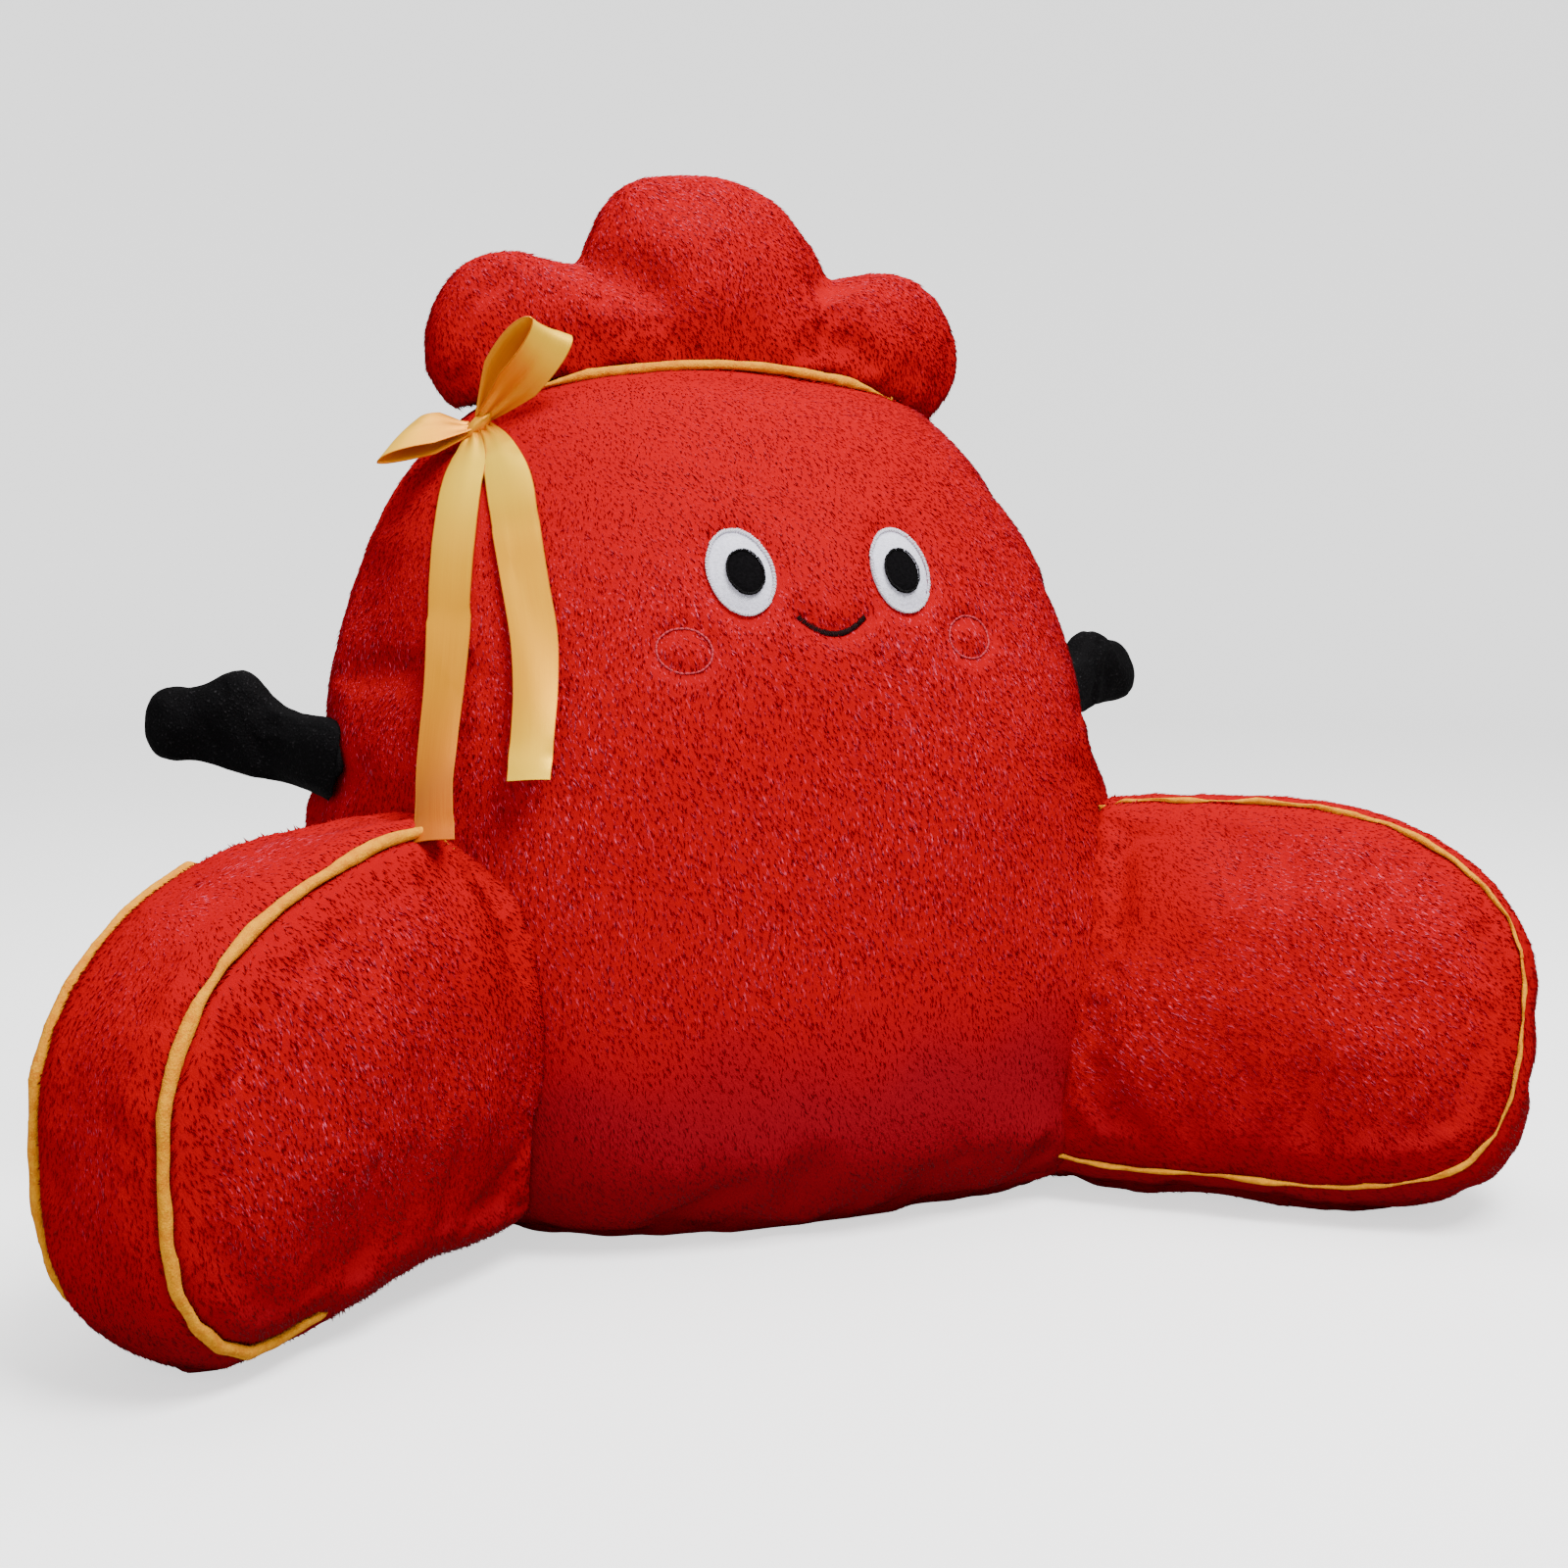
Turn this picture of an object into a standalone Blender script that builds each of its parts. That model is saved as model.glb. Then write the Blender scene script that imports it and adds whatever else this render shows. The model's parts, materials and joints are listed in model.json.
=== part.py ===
"""Reading pillow with arms: a stuffed plush backrest that stands on its flat foot, two boxed
bolsters sewn to its sides, a three-lobed crest on its top seam, corded seams, a satin ribbon
bow, two small mitts and appliqued eyes. Metres, +Z up, the front faces -Y."""

import math
from collections import namedtuple

import bmesh
import bpy
from mathutils import Vector
from mathutils.bvhtree import BVHTree

# ---------------------------------------------------------------- driving dimensions
GAP = 0.0003                # clearance between two pieces that are sewn together
CUT_CLEARANCE = 0.0004      # and what a piece is trimmed back from the one it is sewn to
CORD_RADIUS = 0.0030        # corded seam, 6 mm across
CENTRE_SHIFT = (0.0005, -0.0146)   # brings the middle of the whole width and depth to the origin

# Backrest: one row for each level, from the foot to the crown.
BackrestLevel = namedtuple("BackrestLevel", "height half_width front back squareness")
BACKREST_LEVELS = [
    BackrestLevel(0.000, 0.138, 0.094, 0.074, 2.3),
    BackrestLevel(0.010, 0.164, 0.114, 0.094, 2.35),
    BackrestLevel(0.035, 0.189, 0.129, 0.107, 2.4),
    BackrestLevel(0.080, 0.201, 0.136, 0.113, 2.45),
    BackrestLevel(0.130, 0.203, 0.138, 0.112, 2.45),
    BackrestLevel(0.185, 0.1945, 0.137, 0.107, 2.4),
    BackrestLevel(0.240, 0.1845, 0.132, 0.097, 2.25),
    BackrestLevel(0.285, 0.172, 0.121, 0.084, 2.12),
    BackrestLevel(0.325, 0.155, 0.102, 0.068, 2.04),
    BackrestLevel(0.358, 0.131, 0.077, 0.052, 2.0),
    BackrestLevel(0.380, 0.094, 0.051, 0.036, 2.0),
    BackrestLevel(0.392, 0.050, 0.027, 0.020, 2.0),
]
BACKREST_TOP = 0.3965
SEAM_FOOT_Y = 0.068         # where the side seam's plane meets the floor
RECLINE = 0.095             # how far that plane leans back for each metre of height
LEAN = -0.013               # and how far it leans to the left
BACKREST_RINGS = 22
BACKREST_SIDES = 40

# Bolsters: a boxed cushion, two side panels sewn to a gusset. Each lies in its own way:
# splayed from the front, rolled outwards, lifted towards its root, its underside arched.
ArmPose = namedtuple("ArmPose", "word side splay roll lift arch root_x root_y foot")
ARM_POSES = [
    ArmPose("left", -1, math.radians(51.0), math.radians(-0.8), math.radians(2.5), 0.011,
            0.1568, -0.0373, 0.0029),
    ArmPose("right", 1, math.radians(49.3), math.radians(17.0), math.radians(-0.4), 0.000,
            0.1386, -0.0574, 0.0049),
]
GUSSET_WIDTH = 0.063
PANEL_CENTRE = (0.060, 0.097)             # along the arm, and up
PANEL_FRONT, PANEL_BACK = 0.118, 0.150    # reach from that centre
PANEL_RISE, PANEL_DROP = 0.083, 0.0965
TOP_SQUARENESS, FOOT_SQUARENESS = 2.12, 3.5
BULGE_TOP, BULGE_FOOT = 0.0070, 0.0150   # the gusset's swell, flattened on the floor
INNER_CROWN, OUTER_CROWN = 0.026, 0.034
CROWN_POWERS = (2.2, 0.75)               # full in the middle, steep at the seam
CROWN_SHARES = (0.25, 0.48, 0.68, 0.84)
SHOULDER_IN, SHOULDER_OUT = 0.0075, 0.0055      # the panel's roll beside its seam
SWELL_LOSS = 0.55                        # how much less the gusset swells beside its seams
GUSSET_SHARES = (0.62, 0.0, -0.62)
ARCH_START, ARCH_LENGTH = 0.035, 0.15    # where the arched underside begins, from the arm's end
ARM_STEPS = 44
CORD_SIDES = 8
CORD_ROOT = -0.062          # where a cord starts, along the arm, inside the backrest
CORD_ROOT_LEFT_INNER = 0.012    # the top of this one is turned into the seam early

# Crest: a flat stuffed piece with three lobes, in the plane of the top seam.
CREST_Y = 0.107
CREST_CENTRE_Z = 0.400
CREST_HALF_THICKNESS = 0.037
Lobe = namedtuple("Lobe", "x z radius_x radius_z")
CREST_LOBES = [
    Lobe(0.000, 0.396, 0.112, 0.034),
    Lobe(0.000, 0.428, 0.063, 0.057),
    Lobe(-0.0955, 0.401, 0.0435, 0.0430),
    Lobe(0.0955, 0.401, 0.0435, 0.0430),
]
CREST_STEPS = 72
CREST_SHARES = (0.35, 0.62, 0.82, 0.94)
CREST_ROUNDING = (2.6, 0.62)
NOTCH_SOFTNESS = 0.0025

# Cord in the crease where the crest meets the backrest's front.
BAND_RADIUS = 0.0027
BAND_LEFT, BAND_RIGHT = -0.089, 0.082
BAND_STEPS = 18
BAND_TUCK = 0.4             # share of its radius that it is tucked under the crest

# Mitts: flat stuffed shapes with a thumb, sewn into the side seams. One row for each section.
MittSection = namedtuple("MittSection", "reach low high half_thickness")
MITT_SECTIONS = [
    MittSection(-0.0120, 0.1880, 0.2290, 0.0165),
    MittSection(0.0020, 0.1960, 0.2310, 0.0165),
    MittSection(0.0180, 0.2015, 0.2305, 0.0155),
    MittSection(0.0290, 0.2030, 0.2350, 0.0150),
    MittSection(0.0380, 0.2035, 0.2440, 0.0145),
    MittSection(0.0460, 0.2045, 0.2490, 0.0140),
    MittSection(0.0550, 0.2050, 0.2470, 0.0140),
    MittSection(0.0640, 0.2065, 0.2425, 0.0145),
    MittSection(0.0770, 0.2070, 0.2405, 0.0140),
    MittSection(0.0860, 0.2095, 0.2370, 0.0110),
    MittSection(0.0910, 0.2150, 0.2315, 0.0060),
]
MITT_TIP = 0.0930
MITT_BACKWARD = math.radians(33.0)
MITT_SIDES = 16
MittPlace = namedtuple("MittPlace", "word side x y rise")
MITT_PLACES = [
    MittPlace("left", -1, -0.188, 0.088, 0.000),
    MittPlace("right", 1, 0.180, 0.088, 0.013),
]

# Ribbon bow: a knot, two loops and two free tails. Its own directions are right, out and up.
RIBBON_WIDTH = 0.0225
RIBBON_THICKNESS = 0.0010
BOW_TURN = math.radians(22.0)
BOW_RIGHT = Vector((math.cos(BOW_TURN), -math.sin(BOW_TURN), 0.0))
BOW_OUT = Vector((-math.sin(BOW_TURN), -math.cos(BOW_TURN), 0.0))
BOW_UP = Vector((0.0, 0.0, 1.0))
KNOT_CENTRE = Vector((-0.1256, 0.0640, 0.3604))
KNOT_RADII = (0.0080, 0.0058, 0.0060)       # right, out, up
KNOT_RINGS, KNOT_SIDES = 8, 14
RIBBON_CUP = 0.03           # how far the ribbon is cupped, as a share of its width
LOOP_START = 0.0025         # how far from the knot's centre a loop starts
# axis and across are (right, up, out); opening is half the loop's depth, slide moves its back.
LoopShape = namedtuple("LoopShape", "word length opening slide axis across")
LOOP_SHAPES = [
    LoopShape("right", 0.0545, 0.0070, -0.0075, (0.640, 0.768, 0.05), (0.84, -0.50, 0.22)),
    LoopShape("left", 0.0430, 0.0060, -0.0040, (-0.960, -0.160, 0.30), (-0.36, -0.80, 0.50)),
]
LOOP_TURN = (math.radians(16.0), math.radians(344.0))
LOOP_WAIST, LOOP_FLARE = 0.36, 1.7      # share of the width at the knot, and its growth outwards
LOOP_STEPS = 22
# facing blends the ribbon's face from the backrest's own slope (0) towards the front (1).
RibbonPoint = namedtuple("RibbonPoint", "x y z width facing")
TAIL_POINTS = {
    "left": [
        RibbonPoint(-0.1275, 0.0640, 0.3590, 0.0055, 0.1),
        RibbonPoint(-0.1300, 0.0575, 0.3515, 0.0110, 0.1),
        RibbonPoint(-0.1333, 0.0515, 0.3435, 0.0190, 0.1),
        RibbonPoint(-0.1385, 0.0445, 0.3312, 0.0225, 0.1),
        RibbonPoint(-0.1450, 0.0330, 0.3105, 0.0225, 0.1),
        RibbonPoint(-0.1495, 0.0220, 0.2902, 0.0225, 0.1),
        RibbonPoint(-0.1534, 0.0097, 0.2680, 0.0225, 0.2),
        RibbonPoint(-0.1583, -0.0028, 0.2479, 0.0225, 0.3),
        RibbonPoint(-0.1639, -0.0163, 0.2301, 0.0225, 0.4),
        RibbonPoint(-0.1695, -0.0325, 0.2160, 0.0225, 0.4),
        RibbonPoint(-0.1755, -0.0540, 0.2070, 0.0225, 0.3),
        RibbonPoint(-0.1815, -0.0730, 0.1965, 0.0220, 0.3),
    ],
    "right": [
        RibbonPoint(-0.1225, 0.0620, 0.3600, 0.0060, 0.1),
        RibbonPoint(-0.1195, 0.0540, 0.3545, 0.0090, 0.1),
        RibbonPoint(-0.1184, 0.0425, 0.3455, 0.0160, 0.1),
        RibbonPoint(-0.1179, 0.0295, 0.3323, 0.0220, 0.1),
        RibbonPoint(-0.1188, 0.0130, 0.3105, 0.0225, 0.1),
        RibbonPoint(-0.1199, -0.0010, 0.2905, 0.0225, 0.1),
        RibbonPoint(-0.1208, -0.0150, 0.2685, 0.0225, 0.15),
        RibbonPoint(-0.1239, -0.0254, 0.2485, 0.0225, 0.2),
        RibbonPoint(-0.1271, -0.0327, 0.2326, 0.0225, 0.3),
        RibbonPoint(-0.1317, -0.0410, 0.2086, 0.0220, 0.3),
    ],
}
TAIL_STEPS = 30
TAIL_SLANT = {"left": -0.0040, "right": 0.0020}     # how far the cut end is slanted

# Eyes: felt ovals with round pupils, stitched flat on the front.
PATCH_THICKNESS = 0.0012
PATCH_GAP = 0.0005
PATCH_STEPS = 24
EyePatch = namedtuple("EyePatch", "name x z half_width half_height layer slot")
EYE_PATCHES = [
    EyePatch("eye_left", -0.0300, 0.2950, 0.0150, 0.0185, 0, "white"),
    EyePatch("eye_right", 0.0470, 0.2950, 0.0150, 0.0185, 0, "white"),
    EyePatch("pupil_left", -0.0290, 0.2945, 0.0082, 0.0095, 1, "black"),
    EyePatch("pupil_right", 0.0460, 0.2945, 0.0082, 0.0095, 1, "black"),
]


# ---------------------------------------------------------------- materials
def plush(name, colour, roughness=0.9):
    """A plain fabric: colour in linear RGB."""
    material = bpy.data.materials.new(name)
    material.use_nodes = True
    shader = material.node_tree.nodes["Principled BSDF"]
    shader.inputs["Base Color"].default_value = (*colour, 1.0)
    shader.inputs["Roughness"].default_value = roughness
    shader.inputs["Metallic"].default_value = 0.0
    return material


# ---------------------------------------------------------------- mesh helpers
def smooth_row(rows, at):
    """The row at a fractional index, on a Catmull-Rom curve through the table."""
    last = len(rows) - 1
    index = min(int(at), last - 1)
    t = at - index
    before, start = rows[max(index - 1, 0)], rows[index]
    end, after = rows[index + 1], rows[min(index + 2, last)]
    return [
        0.5 * (2 * b + (c - a) * t + (2 * a - 5 * b + 4 * c - d) * t * t
               + (3 * b - a - 3 * c + d) * t ** 3)
        for a, b, c, d in zip(before, start, end, after)
    ]


def skin(name, rings, material, start_pole=None, end_pole=None, grow=0.0):
    """One closed solid through rings of points, its ends closed by a pole or by a flat face."""
    mesh = bmesh.new()
    loops = [[mesh.verts.new(point) for point in ring] for ring in rings]
    count = len(loops[0])
    for lower, upper in zip(loops, loops[1:]):
        for i in range(count):
            j = (i + 1) % count
            mesh.faces.new((lower[i], lower[j], upper[j], upper[i]))
    for loop, pole in ((loops[0], start_pole), (loops[-1], end_pole)):
        if pole is None:
            mesh.faces.new(loop)
            continue
        tip = mesh.verts.new(pole)
        for i in range(count):
            mesh.faces.new((loop[i], loop[(i + 1) % count], tip))
    bmesh.ops.recalc_face_normals(mesh, faces=mesh.faces)
    if grow:
        mesh.normal_update()
        for vertex in mesh.verts:
            vertex.co += vertex.normal * grow
    data = bpy.data.meshes.new(name)
    mesh.to_mesh(data)
    mesh.free()
    data.shade_smooth()
    obj = bpy.data.objects.new(name, data)
    bpy.context.scene.collection.objects.link(obj)
    if material:
        data.materials.append(material)
    return obj


def surface_of(obj):
    """The object's surface for measuring on, before its cuts."""
    mesh = obj.data
    points = [vertex.co for vertex in mesh.vertices]
    return BVHTree.FromPolygons(points, [face.vertices for face in mesh.polygons])


def helper(obj):
    """Marks a cutter, which is not a piece."""
    obj.hide_render = True
    obj.display_type = "WIRE"
    return obj


def cut(obj, cutter):
    """Takes a cutter away from a piece."""
    modifier = obj.modifiers.new("fit", "BOOLEAN")
    modifier.operation = "DIFFERENCE"
    modifier.solver = "EXACT"
    modifier.object = cutter


# ---------------------------------------------------------------- backrest
def seam_y(height):
    return SEAM_FOOT_Y + RECLINE * height


def backrest_ring(level):
    height, half_width, front, back, squareness = level
    ring = []
    for i in range(BACKREST_SIDES):
        turn = 2 * math.pi * i / BACKREST_SIDES
        c, s = math.cos(turn), math.sin(turn)
        depth, power = (back, 1.0) if s > 0 else (front, 2 / squareness)
        ring.append(Vector((LEAN * height + half_width * math.copysign(abs(c) ** power, c),
                            seam_y(height) + depth * math.copysign(abs(s) ** power, s),
                            height)))
    return ring


def backrest(name, material, grow=0.0):
    last = len(BACKREST_LEVELS) - 1
    rings = [backrest_ring(smooth_row(BACKREST_LEVELS, last * i / BACKREST_RINGS))
             for i in range(BACKREST_RINGS + 1)]
    top = Vector((LEAN * BACKREST_TOP, seam_y(BACKREST_TOP), BACKREST_TOP))
    return skin(name, rings, material, end_pole=top, grow=grow)


# ---------------------------------------------------------------- bolsters
def panel_point(turn):
    """The side panel's seam line as (along, up), made of four quarter superellipses."""
    c, s = math.cos(turn), math.sin(turn)
    reach = PANEL_FRONT if c > 0 else PANEL_BACK
    rise = PANEL_RISE if s > 0 else PANEL_DROP
    square = TOP_SQUARENESS if (c > 0 and s > 0) else FOOT_SQUARENESS
    return (PANEL_CENTRE[0] + math.copysign(reach * abs(c) ** (2 / square), c),
            PANEL_CENTRE[1] + math.copysign(rise * abs(s) ** (2 / square), s))


def evenly(points, count):
    """count points at equal steps round a closed line."""
    closed = points + [points[0]]
    walked = [0.0]
    for a, b in zip(closed, closed[1:]):
        walked.append(walked[-1] + math.dist(a, b))
    found, k = [], 0
    for i in range(count):
        target = walked[-1] * i / count
        while walked[k + 1] < target:
            k += 1
        t = (target - walked[k]) / (walked[k + 1] - walked[k])
        found.append(tuple(a + (b - a) * t for a, b in zip(closed[k], closed[k + 1])))
    return found


def outward(points):
    """The outward normal of a closed anticlockwise line at each of its points."""
    normals = []
    for i in range(len(points)):
        (x0, y0), (x1, y1) = points[i - 1], points[(i + 1) % len(points)]
        length = math.hypot(x1 - x0, y1 - y0)
        normals.append(((y1 - y0) / length, -(x1 - x0) / length))
    return normals


def arm_space(pose, along, up, out):
    """A point of the arm: along its length, up, and outwards from the inner panel's plane."""
    level = out * math.cos(pose.roll) + up * math.sin(pose.roll)
    height = up * math.cos(pose.roll) - out * math.sin(pose.roll)
    height += GUSSET_WIDTH * max(math.sin(pose.roll), 0.0) + pose.foot
    back = PANEL_CENTRE[0] + PANEL_FRONT - along
    height += math.tan(pose.lift) * back
    lowness = max(1 - up / PANEL_CENTRE[1], 0.0)
    arched = math.sin(math.pi * min(max(back - ARCH_START, 0.0) / ARCH_LENGTH, 1.0))
    height += pose.arch * lowness * arched
    x = pose.root_x + along * math.sin(pose.splay) + level * math.cos(pose.splay)
    y = pose.root_y - along * math.cos(pose.splay) + level * math.sin(pose.splay)
    return Vector((pose.side * x, y, max(height, 0.0)))


def bolster(name, pose, line, normals, material):
    """Crowned inner panel, grooved seam, gusset, grooved seam, crowned outer panel."""
    middle = GUSSET_WIDTH / 2
    groove = CORD_RADIUS + 2 * GAP

    def scaled(share, out):
        return [arm_space(pose, PANEL_CENTRE[0] + (a - PANEL_CENTRE[0]) * share,
                          PANEL_CENTRE[1] + (u - PANEL_CENTRE[1]) * share, out)
                for a, u in line]

    def offset(by, out):
        return [arm_space(pose, a + na * by, u + nu * by, out)
                for (a, u), (na, nu) in zip(line, normals)]

    def gusset(share):
        swell = 1 - share ** 2 * SWELL_LOSS
        return [arm_space(pose, a + na * swell * bulge(nu), u + nu * swell * bulge(nu),
                          middle - share * middle)
                for (a, u), (na, nu) in zip(line, normals)]

    def bulge(downness):
        return BULGE_TOP + (BULGE_FOOT - BULGE_TOP) * max(-downness, 0.0)

    def crown(height, share):
        return height * (1 - share ** CROWN_POWERS[0]) ** CROWN_POWERS[1]

    turns = [math.radians(t) for t in (135, 180, 225, 270, 315)]
    rings = [scaled(s, -crown(INNER_CROWN, s)) for s in CROWN_SHARES]
    rings.append(offset(-SHOULDER_IN, -SHOULDER_OUT))
    rings += [offset(groove * math.cos(t), -groove * math.sin(t)) for t in turns]
    rings += [gusset(share) for share in GUSSET_SHARES]
    rings += [offset(groove * math.cos(t), GUSSET_WIDTH + groove * math.sin(t))
              for t in reversed(turns)]
    rings.append(offset(-SHOULDER_IN, GUSSET_WIDTH + SHOULDER_OUT))
    rings += [scaled(s, GUSSET_WIDTH + crown(OUTER_CROWN, s)) for s in reversed(CROWN_SHARES)]
    inner = arm_space(pose, *PANEL_CENTRE, -INNER_CROWN)
    outer = arm_space(pose, *PANEL_CENTRE, GUSSET_WIDTH + OUTER_CROWN)
    return skin(name, rings, material, start_pole=inner, end_pole=outer)


def seam_cord(name, pose, line, normals, out, top_root, material):
    """The cord in one of the bolster's seams, from the backrest round the end and back."""
    start = min(range(len(line)), key=lambda i: line[i][0])
    order = [(start + i) % len(line) for i in range(len(line))]
    kept = [i for i in order
            if line[i][0] > (top_root if line[i][1] > PANEL_CENTRE[1] else CORD_ROOT)]
    rings = []
    for i in kept:
        (a, u), (na, nu) = line[i], normals[i]
        ring = []
        for k in range(CORD_SIDES):
            turn = 2 * math.pi * k / CORD_SIDES
            by, across = CORD_RADIUS * math.cos(turn), CORD_RADIUS * math.sin(turn)
            ring.append(arm_space(pose, a + na * by, u + nu * by, out + across))
        rings.append(ring)
    return skin(name, rings, material)


# ---------------------------------------------------------------- crest
def crest_reach(turn):
    """How far the lobes reach from the crest's centre, their notches softened."""
    dx, dz = math.cos(turn), math.sin(turn)
    reaches = []
    for lobe in CREST_LOBES:
        px, pz = -lobe.x / lobe.radius_x, (CREST_CENTRE_Z - lobe.z) / lobe.radius_z
        vx, vz = dx / lobe.radius_x, dz / lobe.radius_z
        a, b, c = vx * vx + vz * vz, px * vx + pz * vz, px * px + pz * pz - 1
        if b * b - a * c > 0:
            reaches.append((-b + math.sqrt(b * b - a * c)) / a)
    most = max(reaches)
    blend = sum(math.exp((reach - most) / NOTCH_SOFTNESS) for reach in reaches)
    return most + NOTCH_SOFTNESS * math.log(blend)


def crest(name, material):
    turns = [2 * math.pi * i / CREST_STEPS for i in range(CREST_STEPS)]
    reaches = [crest_reach(t) for t in turns]

    def ring(share, side):
        thick = CREST_HALF_THICKNESS * (1 - share ** CREST_ROUNDING[0]) ** CREST_ROUNDING[1]
        return [Vector((r * share * math.cos(t), CREST_Y + side * thick,
                        CREST_CENTRE_Z + r * share * math.sin(t)))
                for t, r in zip(turns, reaches)]

    rings = [ring(share, -1) for share in CREST_SHARES]
    rings.append(ring(1.0, 0))
    rings += [ring(share, 1) for share in reversed(CREST_SHARES)]
    front = Vector((0.0, CREST_Y - CREST_HALF_THICKNESS, CREST_CENTRE_Z))
    back = Vector((0.0, CREST_Y + CREST_HALF_THICKNESS, CREST_CENTRE_Z))
    return skin(name, rings, material, start_pole=front, end_pole=back)


def tube(name, path, radius, material=None):
    """A round cord along a path, its ends flat."""
    rings = []
    for i, point in enumerate(path):
        ahead = (path[min(i + 1, len(path) - 1)] - path[max(i - 1, 0)]).normalized()
        across = ahead.cross(Vector((0.0, 0.0, 1.0))).normalized()
        above = across.cross(ahead)
        turns = [2 * math.pi * k / CORD_SIDES for k in range(CORD_SIDES)]
        rings.append([point + radius * (across * math.cos(t) + above * math.sin(t))
                      for t in turns])
    return skin(name, rings, material)


def band_path(body, top):
    """Where a cord lies on the backrest against the foot of the crest's front."""
    path = []
    for i in range(BAND_STEPS + 1):
        x = BAND_LEFT + (BAND_RIGHT - BAND_LEFT) * i / BAND_STEPS
        y = CREST_Y - CREST_HALF_THICKNESS
        for _ in range(4):
            ground = body.ray_cast(Vector((x, y, 1.0)), Vector((0.0, 0.0, -1.0)))[0]
            front = Vector((x, -1.0, ground.z + 2 * BAND_RADIUS))
            y = top.ray_cast(front, Vector((0.0, 1.0, 0.0)))[0].y - BAND_RADIUS * BAND_TUCK
        ground, normal = body.ray_cast(Vector((x, y, 1.0)), Vector((0.0, 0.0, -1.0)))[:2]
        path.append(ground + normal * (BAND_RADIUS + GAP))
    return path


# ---------------------------------------------------------------- mitts
def mitt(place, material):
    ahead = Vector((place.side * math.cos(MITT_BACKWARD), math.sin(MITT_BACKWARD), 0.0))
    across = Vector((-ahead.y, ahead.x, 0.0))
    root = Vector((place.x, place.y, place.rise))
    rings = []
    for row in MITT_SECTIONS:
        middle, half = (row.low + row.high) / 2, (row.high - row.low) / 2
        centre = root + ahead * row.reach
        ring = []
        for k in range(MITT_SIDES):
            turn = 2 * math.pi * k / MITT_SIDES
            up = middle + half * math.sin(turn)
            ring.append(centre + across * row.half_thickness * math.cos(turn) + up * BOW_UP)
        rings.append(ring)
    last = MITT_SECTIONS[-1]
    tip = root + ahead * MITT_TIP + BOW_UP * (last.low + last.high) / 2
    return skin(f"mitt_{place.word}", rings, material, end_pole=tip)


# ---------------------------------------------------------------- bow
def bow_vector(right, up, out):
    return BOW_RIGHT * right + BOW_UP * up + BOW_OUT * out


def knot(name, material, grow=0.0):
    """The short wrap of ribbon in the middle, wider than high."""
    rings = []
    for i in range(1, KNOT_RINGS):
        lift = math.pi * i / KNOT_RINGS
        ring = []
        for k in range(KNOT_SIDES):
            turn = 2 * math.pi * k / KNOT_SIDES
            ring.append(KNOT_CENTRE + bow_vector(-KNOT_RADII[0] * math.cos(lift),
                                                 KNOT_RADII[2] * math.sin(lift) * math.sin(turn),
                                                 KNOT_RADII[1] * math.sin(lift) * math.cos(turn)))
        rings.append(ring)
    start = KNOT_CENTRE - BOW_RIGHT * KNOT_RADII[0]
    end = KNOT_CENTRE + BOW_RIGHT * KNOT_RADII[0]
    return skin(name, rings, material, start_pole=start, end_pole=end, grow=grow)


def ribbon(name, path, widths, acrosses, material, slant=0.0):
    """A flat strip along a path, a little cupped across its width."""
    rings = []
    last = len(path) - 1
    for i, point in enumerate(path):
        ahead = (path[min(i + 1, last)] - path[max(i - 1, 0)]).normalized()
        across = (acrosses[i] - ahead * acrosses[i].dot(ahead)).normalized()
        face = ahead.cross(across)
        half, thick, cup = widths[i] / 2, RIBBON_THICKNESS / 2, widths[i] * RIBBON_CUP
        lean = ahead * (slant if i == last else 0.0)
        rings.append([point - across * half - lean + face * thick,
                      point + face * (cup + thick),
                      point + across * half + lean + face * thick,
                      point + across * half + lean - face * thick,
                      point + face * (cup - thick),
                      point - across * half - lean - face * thick])
    return skin(name, rings, material)


def bow_loop(shape, material):
    """A teardrop of ribbon that leaves the knot in front and comes back behind."""
    axis = bow_vector(*shape.axis).normalized()
    across = bow_vector(*shape.across)
    across = (across - axis * across.dot(axis)).normalized()
    depth = axis.cross(across)
    if depth.dot(BOW_OUT) < 0:
        depth.negate()
    path, widths, acrosses = [], [], []
    for i in range(LOOP_STEPS + 1):
        turn = LOOP_TURN[0] + (LOOP_TURN[1] - LOOP_TURN[0]) * i / LOOP_STEPS
        along = (1 - math.cos(turn)) / 2
        bulge = math.sin(turn)
        path.append(KNOT_CENTRE + axis * (LOOP_START + shape.length * along)
                    + depth * shape.opening * bulge
                    + across * shape.slide * max(-bulge, 0.0))
        widths.append(RIBBON_WIDTH * min(LOOP_WAIST + LOOP_FLARE * along, 1.0))
        acrosses.append(across)
    return ribbon(f"bow_loop_{shape.word}", path, widths, acrosses, material)


def bow_tail(word, body, material):
    """A free end that lies over the backrest and hangs from it."""
    rows = TAIL_POINTS[word]
    path, widths, acrosses = [], [], []
    for i in range(TAIL_STEPS + 1):
        x, y, z, width, facing = smooth_row(rows, (len(rows) - 1) * i / TAIL_STEPS)
        point = Vector((x, y, z))
        normal = body.find_nearest(point)[1].lerp(BOW_OUT, facing)
        path.append(point)
        widths.append(width)
        acrosses.append(normal)
    for i, normal in enumerate(acrosses):
        ahead = path[min(i + 1, TAIL_STEPS)] - path[max(i - 1, 0)]
        acrosses[i] = normal.cross(ahead)
    return ribbon(f"bow_tail_{word}", path, widths, acrosses, material, TAIL_SLANT[word])


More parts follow.
